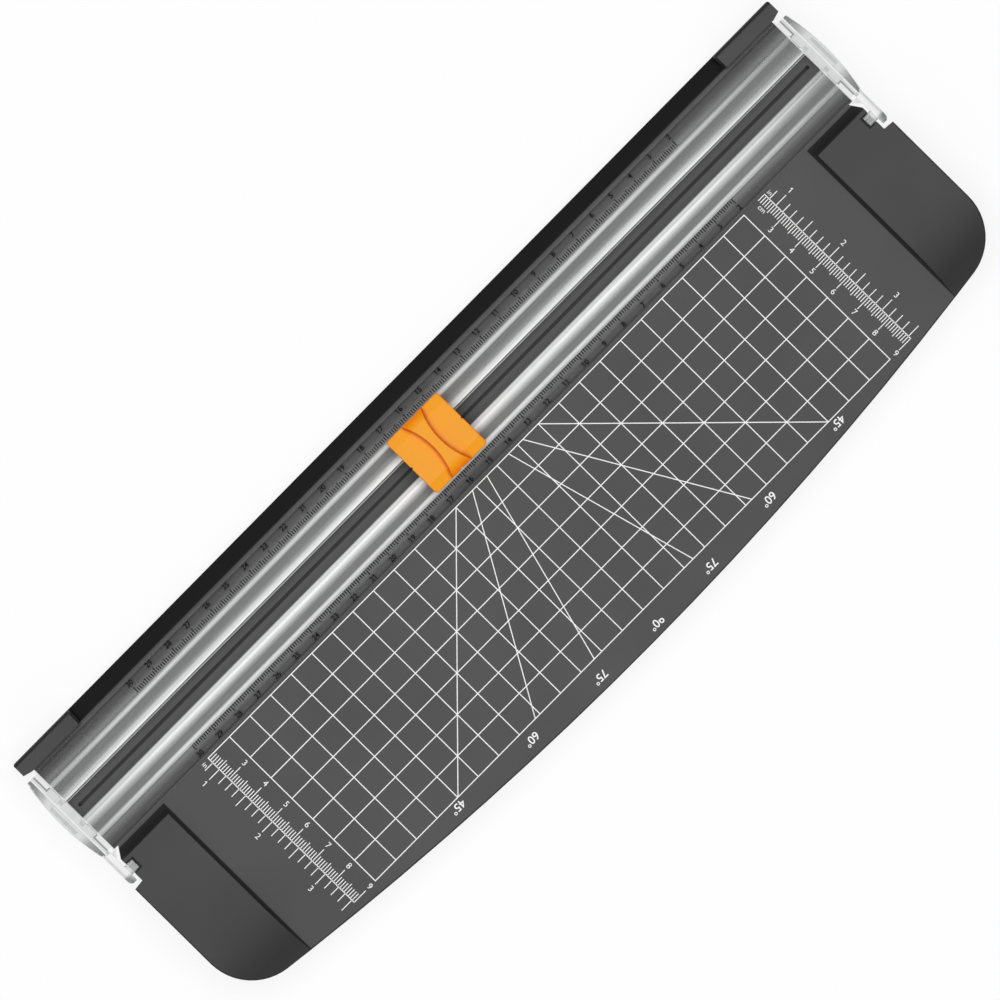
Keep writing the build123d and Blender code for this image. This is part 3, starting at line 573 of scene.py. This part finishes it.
def clear_rail_plastic(colours, name, tones):
    """Polystyrene, extruded clear and polished.

    White light is painted along the thick walls beside the slot and at the outer edge of each rib, with a
    grey web between them, and painted shade dims the dark deck seen through the flange, darkest at its outer
    edge.
    """
    made, tree, shader, place = begin_material(name)
    apart = add_node(tree, "ShaderNodeSeparateXYZ", inputs={0: place})
    across = add_node(
        tree, "ShaderNodeMath", {"operation": "SUBTRACT"}, {0: apart.outputs["Y"], 1: cut_y}
    )
    distance = add_node(tree, "ShaderNodeMath", {"operation": "ABSOLUTE"}, {0: across.outputs[0]})
    share = add_node(
        tree, "ShaderNodeMath", {"operation": "DIVIDE"}, {0: distance.outputs[0], 1: rail_half_depth}
    )
    # Painted light and shade across the bar: tone and cover by the distance from the cut line
    glow = add_ramp(
        tree, share.outputs[0],
        [(reach * MM / rail_half_depth, (*linear(tone), cover)) for reach, tone, cover in tones]
    )
    streak_place = add_node(
        tree, "ShaderNodeMapping", {"vector_type": "TEXTURE"}, {"Vector": place, "Scale": (60.0, 1.0, 1.0)}
    )
    streaks = add_node(
        tree, "ShaderNodeTexNoise",
        inputs={"Vector": streak_place.outputs[0], "Scale": per_metre(0.8), "Detail": 2.0}
    )
    uneven = add_node(
        tree, "ShaderNodeMapRange",
        inputs={**STREAK_SPAN, "Value": streaks.outputs[0], "To Min": 0.88, "To Max": 1.1}
    )
    from_middle = add_node(tree, "ShaderNodeMath", {"operation": "ABSOLUTE"}, {0: apart.outputs["X"]})
    along = add_node(
        tree, "ShaderNodeMapRange",
        inputs={"Value": apart.outputs["X"], "From Min": -rail_half_length, "From Max": rail_half_length}
    )
    # Painted light: the white walls dim towards the bar's ends
    ends = add_ramp(tree, along.outputs[0], greys(BAR_LEVELS))
    glowing = add_node(
        tree, "ShaderNodeMath", {"operation": "MULTIPLY", "use_clamp": True},
        {0: glow.outputs["Alpha"], 1: FADE_GAIN}
    )
    white = add_node(
        tree, "ShaderNodeMath", MULTIPLY, {0: glowing.outputs[0], 1: glow.outputs["Color"]}
    )
    faded = add_node(
        tree, "ShaderNodeMix", {"data_type": "FLOAT"},
        {"Factor": white.outputs[0], 2: 1.0, 3: ends.outputs[0]}
    )
    level = add_node(
        tree, "ShaderNodeMath", MULTIPLY, {0: uneven.outputs[0], 1: faded.outputs[0]}
    )
    light = add_node(
        tree, "ShaderNodeMath", {"operation": "MULTIPLY", "use_clamp": True},
        {0: glow.outputs["Alpha"], 1: level.outputs[0]}
    )
    past_deck = add_node(
        tree, "ShaderNodeMath", GREATER_THAN, {0: from_middle.outputs[0], 1: strip_high.x}
    )
    cover = add_node(
        tree, "ShaderNodeMix", {"data_type": "FLOAT"},
        {"Factor": past_deck.outputs[0], 2: light.outputs[0], 3: END_COVER}
    )
    tree.links.new(cover.outputs[0], shader.inputs["Alpha"])
    polish = add_node(
        tree, "ShaderNodeMapRange",
        inputs={**STREAK_SPAN, "Value": streaks.outputs[0], "To Min": 0.16, "To Max": 0.24}
    )
    tree.links.new(polish.outputs[0], shader.inputs["Roughness"])
    tinted = add_node(
        tree, "ShaderNodeMix", {"data_type": "RGBA", "blend_type": "MULTIPLY"},
        {"Factor": 1.0, 6: glow.outputs["Color"], 7: opaque(colours.clear)}
    )
    colour = add_node(
        tree, "ShaderNodeMix", {"data_type": "RGBA"},
        {"Factor": past_deck.outputs[0], 6: tinted.outputs[2], 7: opaque(colours.clear_end)}
    )
    tree.links.new(colour.outputs[2], shader.inputs["Base Color"])
    shader.inputs["Specular IOR Level"].default_value = 0.12
    shader.inputs["IOR"].default_value = 1.59
    return made


def clear_cap_plastic(colours):
    """Polystyrene, moulded clear.

    Grey glassy plastic, with painted shade that darkens it to the ends of the lift tab and in its recesses,
    and painted white light at its edges.
    Inside the rail's ribs the plugs vanish, because they are of the same plastic as the ribs around them.
    """
    made, tree, shader, place = begin_material("Polystyrene, moulded clear")
    apart = add_node(tree, "ShaderNodeSeparateXYZ", inputs={0: place})
    low, high = CAP_COVERS[0][0], CAP_COVERS[-1][0]
    # Painted shade: the cover grows towards the ends of the lift tab and the tip of the front arm
    along = add_node(
        tree, "ShaderNodeMapRange",
        inputs={"Value": apart.outputs["Y"], "From Min": cut_y + low * MM, "From Max": cut_y + high * MM}
    )
    cover = add_ramp(
        tree, along.outputs[0], greys(((reach - low) / (high - low), share) for reach, share in CAP_COVERS)
    )
    from_middle = add_node(tree, "ShaderNodeMath", {"operation": "ABSOLUTE"}, {0: apart.outputs["X"]})
    on_wall = add_node(
        tree, "ShaderNodeMath", LESS_THAN,
        {0: from_middle.outputs[0], 1: cap_wall_outer - SLACK}
    )
    beside_bars = add_node(
        tree, "ShaderNodeMath", GREATER_THAN,
        {0: apart.outputs["Y"], 1: cut_y - rail_half_depth}
    )
    over_deck = add_node(
        tree, "ShaderNodeMath", LESS_THAN, {0: from_middle.outputs[0], 1: strip_high.x}
    )
    in_rib = add_node(
        tree, "ShaderNodeMath", MULTIPLY,
        {0: over_deck.outputs[0], 1: beside_bars.outputs[0]}
    )
    in_bore = add_node(
        tree, "ShaderNodeMath", LESS_THAN, {0: from_middle.outputs[0], 1: peg_end}
    )
    hidden = add_node(
        tree, "ShaderNodeMath", {"operation": "MAXIMUM"}, {0: in_rib.outputs[0], 1: in_bore.outputs[0]}
    )
    through_wall = add_node(
        tree, "ShaderNodeMapRange",
        inputs={"Value": from_middle.outputs[0], "From Min": strip_high.x, "From Max": cap_wall_outer}
    )
    wall = add_ramp(tree, through_wall.outputs[0], greys(WALL_COVERS))
    across = add_node(
        tree, "ShaderNodeMath", {"operation": "SUBTRACT"}, {0: apart.outputs["Y"], 1: cut_y}
    )
    distance = add_node(tree, "ShaderNodeMath", {"operation": "ABSOLUTE"}, {0: across.outputs[0]})
    outside_rib = add_node(
        tree, "ShaderNodeMath", GREATER_THAN, {0: distance.outputs[0], 1: rib_hollow_outer}
    )
    inside_seam = add_node(
        tree, "ShaderNodeMath", LESS_THAN, {0: from_middle.outputs[0], 1: seam_x}
    )
    on_leg = add_node(
        tree, "ShaderNodeMath", MULTIPLY,
        {0: outside_rib.outputs[0], 1: inside_seam.outputs[0]}
    )
    thinner = add_node(
        tree, "ShaderNodeMapRange", inputs={"Value": on_leg.outputs[0], "To Min": 1.0, "To Max": LEG_COVER}
    )
    plain_wall = add_node(
        tree, "ShaderNodeMath", MULTIPLY, {0: on_wall.outputs[0], 1: beside_bars.outputs[0]}
    )
    leg = add_node(
        tree, "ShaderNodeMath", MULTIPLY, {0: wall.outputs[0], 1: thinner.outputs[0]}
    )
    # Painted shade: an arm's outer side is covered more than its inner side, which shows most at its tip
    outward = add_node(
        tree, "ShaderNodeMapRange",
        inputs={"Value": from_middle.outputs[0], "From Min": arm_inner, "From Max": arm_outer,
                "To Min": ARM_INNER_COVER}
    )
    tip_share = add_node(
        tree, "ShaderNodeMath", {"operation": "MAXIMUM"}, {0: outward.outputs[0], 1: beside_bars.outputs[0]}
    )
    shaped = add_node(
        tree, "ShaderNodeMath", MULTIPLY, {0: cover.outputs[0], 1: tip_share.outputs[0]}
    )
    wall_cover = add_node(
        tree, "ShaderNodeMix", {"data_type": "FLOAT"},
        {"Factor": plain_wall.outputs[0], 2: shaped.outputs[0], 3: leg.outputs[0]}
    )
    cloud = add_node(
        tree, "ShaderNodeTexNoise", inputs={"Vector": place, "Scale": per_metre(3), "Detail": 2.0}
    )
    uneven = add_node(
        tree, "ShaderNodeMapRange",
        inputs={**STREAK_SPAN, "Value": cloud.outputs[0], "To Min": 0.85, "To Max": 1.15}
    )
    body = add_node(
        tree, "ShaderNodeMath", MULTIPLY, {0: wall_cover.outputs[0], 1: uneven.outputs[0]}
    )
    upward = add_node(
        tree, "ShaderNodeSeparateXYZ", inputs={0: add_node(tree, "ShaderNodeTexCoord").outputs["Normal"]}
    )
    level_face = add_node(
        tree, "ShaderNodeMath", GREATER_THAN, {0: upward.outputs["Z"], 1: LEVEL_NORMAL}
    )
    # Painted shade on the level floors of the seams, the grip and the pockets beside the slot
    sunk = add_node(
        tree, "ShaderNodeMath", {"operation": "COMPARE"},
        {0: apart.outputs["Z"], 1: (seam_floor + grip_floor) / 2, 2: (grip_floor - seam_floor) / 2 + SLACK}
    )
    in_pocket = add_node(
        tree, "ShaderNodeMath", {"operation": "COMPARE"},
        {0: apart.outputs["Z"], 1: pocket_floor, 2: SLACK}
    )
    low_face = add_node(
        tree, "ShaderNodeMath", {"operation": "MAXIMUM"}, {0: sunk.outputs[0], 1: in_pocket.outputs[0]}
    )
    sunk_face = add_node(
        tree, "ShaderNodeMath", MULTIPLY, {0: low_face.outputs[0], 1: level_face.outputs[0]}
    )
    recess = add_node(
        tree, "ShaderNodeMath", MULTIPLY,
        {0: sunk_face.outputs[0], 1: beside_bars.outputs[0]}
    )
    shade = add_node(
        tree, "ShaderNodeMapRange",
        inputs={
            "Value": apart.outputs["Z"], "From Min": seam_floor, "From Max": grip_floor,
            "To Min": SEAM_SHADE, "To Max": GRIP_SHADE,
        }
    )
    deeper = add_node(
        tree, "ShaderNodeMath", {"operation": "MULTIPLY_ADD", "use_clamp": True},
        {0: recess.outputs[0], 1: shade.outputs[0], 2: body.outputs[0]}
    )
    # Painted highlight: faces turned away from the eye, at the soft edges, get the white of the clear plastic
    # and more cover
    edge = add_node(tree, "ShaderNodeLayerWeight", inputs={"Blend": 0.5}).outputs["Facing"]
    lit = add_node(
        tree, "ShaderNodeMapRange", inputs={"Value": edge, "From Min": 0.05, "From Max": 0.4}
    )
    # Painted light: a peg shows white in its notch, and the painted edge light dims towards an arm's tip
    on_peg = add_node(
        tree, "ShaderNodeMath", {"operation": "COMPARE"},
        {0: from_middle.outputs[0], 1: (peg_end + arm_inner) / 2, 2: (arm_inner - peg_end) / 2}
    )
    before_tip = add_node(
        tree, "ShaderNodeMapRange",
        inputs={"Value": across.outputs[0], "From Min": tip_low, "From Max": tip_high, "To Min": TIP_LIGHT}
    )
    lit = add_node(
        tree, "ShaderNodeMath", MULTIPLY, {0: lit.outputs[0], 1: before_tip.outputs[0]}
    )
    in_notch = add_node(
        tree, "ShaderNodeMath", {"operation": "SUBTRACT", "use_clamp": True},
        {0: on_peg.outputs[0], 1: beside_bars.outputs[0]}
    )
    lit = add_node(
        tree, "ShaderNodeMath", {"operation": "MULTIPLY_ADD", "use_clamp": True},
        {0: in_notch.outputs[0], 1: PEG_LIGHT, 2: lit.outputs[0]}
    )
    colour = add_node(
        tree, "ShaderNodeMix", {"data_type": "RGBA"},
        {"Factor": lit.outputs[0], 6: opaque(colours.clear_end), 7: opaque(colours.clear)}
    )
    tree.links.new(colour.outputs[2], shader.inputs["Base Color"])
    rim = add_node(
        tree, "ShaderNodeMath", {"operation": "MULTIPLY_ADD", "use_clamp": True},
        {0: lit.outputs[0], 1: RIM_COVER, 2: deeper.outputs[0]}
    )
    shown = add_node(
        tree, "ShaderNodeMath", {"operation": "SUBTRACT", "use_clamp": True},
        {0: rim.outputs[0], 1: hidden.outputs[0]}
    )
    tree.links.new(shown.outputs[0], shader.inputs["Alpha"])
    polish = add_node(
        tree, "ShaderNodeMapRange",
        inputs={**STREAK_SPAN, "Value": cloud.outputs[0], "To Min": 0.12, "To Max": 0.2}
    )
    tree.links.new(polish.outputs[0], shader.inputs["Roughness"])
    shader.inputs["Specular IOR Level"].default_value = 0.15
    shader.inputs["IOR"].default_value = 1.59
    return made


def orange_abs(colours):
    """ABS, moulded and lightly polished: a warm satin orange, with painted shade deeper on slopes and darkest
    in the creases.
    """
    made, tree, shader, place = begin_material("ABS, moulded satin orange")
    # Painted shade: faces that slope away from the light get a deeper orange
    upward = add_node(
        tree, "ShaderNodeSeparateXYZ", inputs={0: add_node(tree, "ShaderNodeTexCoord").outputs["Normal"]}
    )
    plain, shade_on_slope = opaque(colours.orange), opaque(colours.orange_deep)
    colour = add_ramp(
        tree, upward.outputs["Z"], [(0.1, plain), (0.4, shade_on_slope), (0.8, shade_on_slope), (0.98, plain)]
    )
    # Painted shade: an ambient occlusion node darkens the orange in the creases beside the ridge
    crease_shade = add_node(
        tree, "ShaderNodeAmbientOcclusion", {"samples": 8, "only_local": True}, {"Distance": 2.0 * MM}
    )
    open_share = add_node(
        tree, "ShaderNodeMapRange", inputs={"Value": crease_shade.outputs["AO"], "From Min": 0.5, "From Max": 0.9}
    )
    shaded = add_node(
        tree, "ShaderNodeMix", {"data_type": "RGBA"},
        {"Factor": open_share.outputs[0], 6: opaque(colours.orange_crease), 7: colour.outputs[0]}
    )
    finish_surface(
        tree, shader, place, shaded.outputs[2],
        grain=0.5, cloud=9, tint=0.03, rough=(0.34, 0.44), depth=0.008
    )
    shader.inputs["Specular IOR Level"].default_value = 0.15
    shader.inputs["IOR"].default_value = 1.53
    return made


def black_acetal(colours):
    """Acetal, moulded: smooth slippery black."""
    made, tree, shader, place = begin_material("Acetal, moulded black")
    finish_surface(
        tree, shader, place, colours.shuttle[:],
        grain=0.3, cloud=6, tint=0.08, rough=(0.3, 0.4), depth=0.006
    )
    shader.inputs["IOR"].default_value = 1.48
    return made


def ground_steel(colours):
    """Steel, ground and drawn: grey metal with fine lines."""
    made, tree, shader, place = begin_material("Steel, ground")
    lines = add_node(
        tree, "ShaderNodeMapping", {"vector_type": "TEXTURE"}, {"Vector": place, "Scale": (1.0, 1.0, 12.0)}
    )
    finish_surface(
        tree, shader, lines.outputs[0], colours.steel[:],
        grain=0.12, cloud=3, tint=0.08, rough=(0.24, 0.4), depth=0.004
    )
    shader.inputs["Metallic"].default_value = 1.0
    return made


def screen_ink(name, colour, sheen):
    """Ink, screen printed: even, with edges and cover that vary a little."""
    made, tree, shader, place = begin_material(name)
    finish_surface(
        tree, shader, place, colour[:],
        grain=0.25, cloud=8, tint=0.05, rough=(0.5, 0.62), depth=0.004
    )
    shader.inputs["Specular IOR Level"].default_value = sheen
    shader.inputs["IOR"].default_value = 1.5
    return made


def dress(material, *nodes):
    """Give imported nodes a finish."""
    for name in nodes:
        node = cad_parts[name]
        node.data.materials.clear()
        node.data.materials.append(material)


class InkSheet:
    """Thin ink that is printed on a level surface, gathered into one mesh."""

    def __init__(self, floor, thickness):
        self.mesh = bmesh.new()
        self.floor = floor
        self.thickness = thickness

    def line(self, start, end, width, lift=0.0):
        """A straight line between two places, with square ends. lift keeps crossing lines apart."""
        run = Vector(end) - Vector(start)
        side = Vector((-run.y, run.x)).normalized() * width / 2
        corners = [Vector(start) - side, Vector(end) - side, Vector(end) + side, Vector(start) + side]
        low, high = self.floor - self.thickness / 3, self.floor + self.thickness + lift
        bottom = [self.mesh.verts.new((*corner, low)) for corner in corners]
        top = [self.mesh.verts.new((*corner, high)) for corner in corners]
        self.mesh.faces.new(top)
        self.mesh.faces.new(bottom[::-1])
        for here in range(4):
            there = (here + 1) % 4
            self.mesh.faces.new((bottom[here], bottom[there], top[there], top[here]))

    def words(self, text, height, place, turn, weight=0.0):
        """Figures of the given height, turned by so many degrees from upright and thickened by the weight."""
        curve = bpy.data.curves.new("figures", "FONT")
        curve.body = text
        curve.align_x = "CENTER"
        curve.align_y = "CENTER"
        curve.size = height / FIGURE_SHARE
        curve.offset = weight
        curve.extrude = self.thickness / 2
        carrier = bpy.data.objects.new("figures", curve)
        bpy.context.scene.collection.objects.link(carrier)
        shape = bpy.data.meshes.new_from_object(carrier.evaluated_get(bpy.context.evaluated_depsgraph_get()))
        stand = Matrix.Translation((*place, self.floor + self.thickness / 2))
        stand = stand @ Matrix.Rotation(radians(turn), 4, "Z")
        shape.transform(stand)
        self.mesh.from_mesh(shape)
        for spot, letter in enumerate(text):
            if letter == "1":
                middle = (spot - (len(text) - 1) / 2) * FIGURE_ROOM
                start, end = [(stand @ (Vector((middle + x, y, 0)) * curve.size)).xy for x, y in ONE_FLAG]
                self.line(start, end, ONE_FLAG_WIDTH * curve.size + 2 * weight, self.thickness / 4)
        bpy.data.objects.remove(carrier)
        bpy.data.curves.remove(curve)
        bpy.data.meshes.remove(shape)

    def piece(self, name, material, body):
        """The finished print, carried by a body."""
        mesh = bpy.data.meshes.new(name)
        self.mesh.to_mesh(mesh)
        self.mesh.free()
        mesh.materials.append(material)
        made = bpy.data.objects.new(name, mesh)
        bpy.context.scene.collection.objects.link(made)
        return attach(made, body)


def ahead(distance):
    """Y of a place this far in front of the cut line."""
    return cut_y - distance


def column_x(sizes, column):
    """X of a grid column."""
    return sizes.grid_left + column * sizes.grid_step


def tick_reach(tick, reaches):
    """How far a tick of a decimal ruler reaches."""
    return MM * (reaches[0] if tick % 10 == 0 else reaches[1] if tick % 5 == 0 else reaches[2])


def print_side_ruler(sizes, material, name, spine, inward, words_cm):
    """A ruler in centimetres towards the grid and in inches away from it, with figures on their side."""
    sheet = InkSheet(plate_top, sizes.ink_height)
    x = column_x(sizes, spine)
    half = sizes.line_width / 2
    cm_reach, inch_reach, unit_reach = RIGHT_FIGURES if words_cm else LEFT_FIGURES

    def figure(text, reach, distance, height=sizes.ruler_label):
        sheet.words(text, height, (x + inward * reach * MM, ahead(distance)), -90)

    def tick_line(distance, reach):
        sheet.line((x, ahead(distance)), (x + inward * reach, ahead(distance)), sizes.tick_width)

    sheet.line((x, ahead(sizes.grid_start) + half), (x, ahead(sizes.grid_end) - half), sizes.line_width)
    first, last = round(sizes.grid_start / MM), round(sizes.grid_end / MM)
    for tick in range(first, last + 1):
        short = words_cm and tick == first
        tick_line(tick * MM, CM_TICKS[-1] * MM if short else tick_reach(tick, CM_TICKS))
    for centimetre in range(first // 10 + 1, last // 10 + 1):
        figure(str(centimetre), cm_reach, centimetre * sizes.grid_step)
    for eighth in range(ceil(first * MM * 8 / INCH), int(last * MM * 8 / INCH) + 1):
        tick_line(eighth * INCH / 8, -MM * INCH_TICKS[0 if eighth % 4 == 0 else 1])
    for inch in range(1, int(last * MM / INCH) + 1):
        figure(str(inch), -inch_reach, inch * INCH)
    figure("in", -unit_reach, INCH_UNIT_AHEAD * MM, sizes.unit_label)
    if words_cm:
        figure("cm", CM_UNIT_REACH, CM_UNIT_AHEAD * MM, sizes.unit_label)
    return sheet.piece(name, material, "base")


def print_rail_ruler(sizes, material, name, side):
    """A ruler on the flange of one rail bar, with its first figure at the right and its last at the left."""
    sheet = InkSheet(rail_under + sizes.flange_thickness, sizes.ink_height)
    foot = cut_y + side * RAIL_TICK_START * MM
    for tick in range(RAIL_FIRST * 10, RAIL_LAST * 10 + 1):
        x = sizes.rail_right - (tick / 10 - RAIL_FIRST) * sizes.rail_step
        sheet.line((x, foot), (x, foot + side * tick_reach(tick, RAIL_TICKS)), sizes.rail_tick)
    for figure in range(RAIL_FIRST, RAIL_LAST + 1):
        x = sizes.rail_right - (figure - RAIL_FIRST) * sizes.rail_step
        place = (x, cut_y + side * RAIL_FIGURE_LINE * MM)
        sheet.words(str(figure), sizes.rail_label, place, 0, sizes.boldness)
    return sheet.piece(name, material, "rail")


class TRIMMER_OT_deck(bpy.types.Operator):
    """Finish the deck, the cutting strip and the feet"""

    bl_idname = "trimmer.deck"
    bl_label = "Deck, strip and feet"

    def execute(self, context):
        colours = context.scene.trimmer_colours
        dress(grained_abs(colours), "base_deck")
        dress(smooth_polypropylene(colours), "cutting_strip")
        feet = [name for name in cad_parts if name.startswith("foot_")]
        dress(foot_rubber(colours), *feet)
        return {"FINISHED"}


class TRIMMER_OT_deck_print(bpy.types.Operator):
    """Print the grid, the angle lines and the side rulers on the deck"""

    bl_idname = "trimmer.deck_print"
    bl_label = "Deck print"

    def execute(self, context):
        sizes = context.scene.trimmer_print
        ink = screen_ink("Ink, screen printed white", context.scene.trimmer_colours.white_ink, sheen=0.4)
        grid = InkSheet(plate_top, sizes.ink_height)
        half = sizes.line_width / 2
        left, right = column_x(sizes, 0), column_x(sizes, sizes.grid_columns)
        for column in range(sizes.grid_columns + 1):
            x = column_x(sizes, column)
            grid.line((x, ahead(sizes.grid_start)), (x, ahead(sizes.grid_end)), sizes.line_width)
        for row in range(round((sizes.grid_end - sizes.grid_start) / sizes.grid_step) + 1):
            level = ahead(sizes.grid_start + row * sizes.grid_step)
            begin = left if row else column_x(sizes, sizes.left_spine)
            grid.line((begin - half, level), (right + half, level), sizes.line_width, sizes.ink_height / 4)
        grid.piece("grid_print", ink, "base")
        angles = InkSheet(plate_top, sizes.ink_height)
        for degree, start, column, distance in ANGLE_LINES:
            if start is not None:
                run = (sizes.grid_end - sizes.grid_start) / tan(radians(degree))
                run = run if column > start else -run
                x = column_x(sizes, start)
                angles.line(
                    (x, ahead(sizes.grid_start)), (x + run, ahead(sizes.grid_end)),
                    sizes.line_width, sizes.ink_height / 2,
                )
            label_place = (column_x(sizes, column), ahead(distance * MM))
            angles.words(f"{degree}°", sizes.angle_label, label_place, 180, sizes.boldness)
        angles.piece("angle_print", ink, "base")
        print_side_ruler(sizes, ink, "left_ruler_print", sizes.left_spine, 1, False)
        print_side_ruler(sizes, ink, "right_ruler_print", sizes.right_spine, -1, True)
        return {"FINISHED"}


class TRIMMER_OT_rail(bpy.types.Operator):
    """Finish the clear rail and its end caps"""

    bl_idname = "trimmer.rail"
    bl_label = "Clear rail"

    def execute(self, context):
        colours = context.scene.trimmer_colours
        dress(clear_rail_plastic(colours, "Polystyrene, extruded clear, front", FRONT_TONES), "front_rail")
        dress(clear_rail_plastic(colours, "Polystyrene, extruded clear, rear", REAR_TONES), "rear_rail")
        dress(clear_cap_plastic(colours), "left_end_cap", "right_end_cap")
        for name in ("left_end_cap", "right_end_cap"):
            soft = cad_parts[name].modifiers.new("soft_edges", "BEVEL")
            soft.width = 0.35 * MM
            soft.segments = 2
            soft.limit_method = "ANGLE"
            soft.angle_limit = radians(40)
        return {"FINISHED"}


class TRIMMER_OT_rail_print(bpy.types.Operator):
    """Print the two rulers on the flanges of the rail"""

    bl_idname = "trimmer.rail_print"
    bl_label = "Rail print"

    def execute(self, context):
        sizes = context.scene.trimmer_print
        ink = screen_ink("Ink, screen printed dark", context.scene.trimmer_colours.dark_ink, sheen=0.05)
        print_rail_ruler(sizes, ink, "front_rail_print", -1)
        print_rail_ruler(sizes, ink, "rear_rail_print", 1)
        return {"FINISHED"}


class TRIMMER_OT_slider(bpy.types.Operator):
    """Finish the slider: press cap, shuttle, springs and blade"""

    bl_idname = "trimmer.slider"
    bl_label = "Slider"

    def execute(self, context):
        colours = context.scene.trimmer_colours
        dress(orange_abs(colours), "slider_cap")
        dress(black_acetal(colours), "slider_shuttle", "blade_holder")
        dress(
            ground_steel(colours), "cutter_blade", "blade_rivet", "return_spring_front", "return_spring_rear"
        )
        return {"FINISHED"}


class TRIMMER_OT_stage(bpy.types.Operator):
    """Set up the floor, the light and the camera"""

    bl_idname = "trimmer.stage"
    bl_label = "Stage"

    def execute(self, context):
        scene = context.scene
        stage = scene.trimmer_stage
        scene.view_settings.view_transform = "Standard"

        def seen_rays(tree):
            """1 for rays that show the background to the eye, straight or in a gloss, else 0."""
            path = add_node(tree, "ShaderNodeLightPath")
            first = add_node(
                tree, "ShaderNodeMath", {"operation": "MAXIMUM"},
                {0: path.outputs["Is Camera Ray"], 1: path.outputs["Is Glossy Ray"]}
            )
            return add_node(
                tree, "ShaderNodeMath", {"operation": "MAXIMUM"},
                {0: first.outputs[0], 1: path.outputs["Is Transmission Ray"]}
            ).outputs[0]

        half = stage.floor_size / 2
        mesh = bpy.data.meshes.new("floor")
        corners = [(-half, -half, 0), (half, -half, 0), (half, half, 0), (-half, half, 0)]
        mesh.from_pydata(corners, [], [(0, 1, 2, 3)])
        floor = bpy.data.objects.new("floor", mesh)
        scene.collection.objects.link(floor)
        paper = bpy.data.materials.new("Paper, matt white sweep")
        paper.use_nodes = True
        tree = paper.node_tree
        tree.nodes.clear()
        matt = add_node(tree, "ShaderNodeBsdfDiffuse", inputs={"Color": opaque(scene.trimmer_colours.floor)})
        bright = add_node(tree, "ShaderNodeEmission", inputs={"Color": (1.0, 1.0, 1.0, 1.0), "Strength": 1.0})
        share = add_node(
            tree, "ShaderNodeMath", MULTIPLY, {0: seen_rays(tree), 1: FLOOR_GLOW}
        )
        both = add_node(
            tree, "ShaderNodeMixShader",
            inputs={0: share.outputs[0], 1: matt.outputs[0], 2: bright.outputs[0]}
        )
        add_node(tree, "ShaderNodeOutputMaterial", inputs={"Surface": both.outputs[0]})
        mesh.materials.append(paper)

        world = bpy.data.worlds.new("Studio room")
        world.use_nodes = True
        scene.world = world
        tree = world.node_tree
        tree.nodes.clear()
        sight = add_node(tree, "ShaderNodeTexCoord").outputs["Generated"]
        way = add_node(tree, "ShaderNodeSeparateXYZ", inputs={0: sight})
        room = add_ramp(tree, way.outputs["Z"], greys(ROOM_LEVELS))
        air = add_node(
            tree, "ShaderNodeBackground", inputs={"Color": room.outputs[0], "Strength": stage.sky}
        )
        add_node(tree, "ShaderNodeOutputWorld", inputs={"Surface": air.outputs[0]})

        # Name, power, side and place of each lamp
        lamps = (
            ("overhead_lamp", stage.overhead_power, 1.1, Vector((0.0, 0.12, 1.3))),
            ("side_lamp", stage.side_power, 0.8, Vector((-1.0, -1.0, 0.9))),
        )
        for name, power, side, spot in lamps:
            lamp = bpy.data.lights.new(name, "AREA")
            lamp.energy = power
            lamp.size = side
            carrier = bpy.data.objects.new(name, lamp)
            carrier.location = spot
            carrier.rotation_mode = "QUATERNION"
            carrier.rotation_quaternion = (-spot).to_track_quat("-Z", "Y")
            scene.collection.objects.link(carrier)

        camera = bpy.data.cameras.new("photo_view")
        camera.lens = stage.lens
        camera.clip_start = 1.0
        camera.clip_end = 40.0
        eye = bpy.data.objects.new("photo_view", camera)
        eye.location = (*stage.aim, plate_top + stage.view_width * stage.lens / camera.sensor_width)
        eye.rotation_euler = (0.0, 0.0, stage.view_turn)
        scene.collection.objects.link(eye)
        scene.camera = eye
        return {"FINISHED"}


OPERATORS = (
    TRIMMER_OT_deck,
    TRIMMER_OT_deck_print,
    TRIMMER_OT_rail,
    TRIMMER_OT_rail_print,
    TRIMMER_OT_slider,
    TRIMMER_OT_stage,
)


class VIEW3D_PT_trimmer(bpy.types.Panel):
    """Steps and settings of the trimmer's looks"""

    bl_idname = "VIEW3D_PT_trimmer"
    bl_label = "Paper trimmer"
    bl_space_type = "VIEW_3D"
    bl_region_type = "UI"
    bl_category = "Trimmer"

    def draw(self, context):
        for step in OPERATORS:
            self.layout.operator(step.bl_idname)
        for group_name, group in GROUPS:
            box = self.layout.box()
            for name in group.__annotations__:
                box.prop(getattr(context.scene, group_name), name)


GROUPS = (
    ("trimmer_print", TrimmerPrint),
    ("trimmer_colours", TrimmerColours),
    ("trimmer_stage", TrimmerStage),
)


def register():
    for name, group in GROUPS:
        bpy.utils.register_class(group)
        setattr(bpy.types.Scene, name, bpy.props.PointerProperty(type=group))
    for made in (*OPERATORS, VIEW3D_PT_trimmer):
        bpy.utils.register_class(made)


def unregister():
    for made in (VIEW3D_PT_trimmer, *reversed(OPERATORS)):
        bpy.utils.unregister_class(made)
    for name, group in reversed(GROUPS):
        delattr(bpy.types.Scene, name)
        bpy.utils.unregister_class(group)


def main():
    register()
    bpy.ops.trimmer.deck()
    bpy.ops.trimmer.deck_print()
    bpy.ops.trimmer.rail()
    bpy.ops.trimmer.rail_print()
    bpy.ops.trimmer.slider()
    bpy.ops.trimmer.stage()


if __name__ == "__main__":
    main()
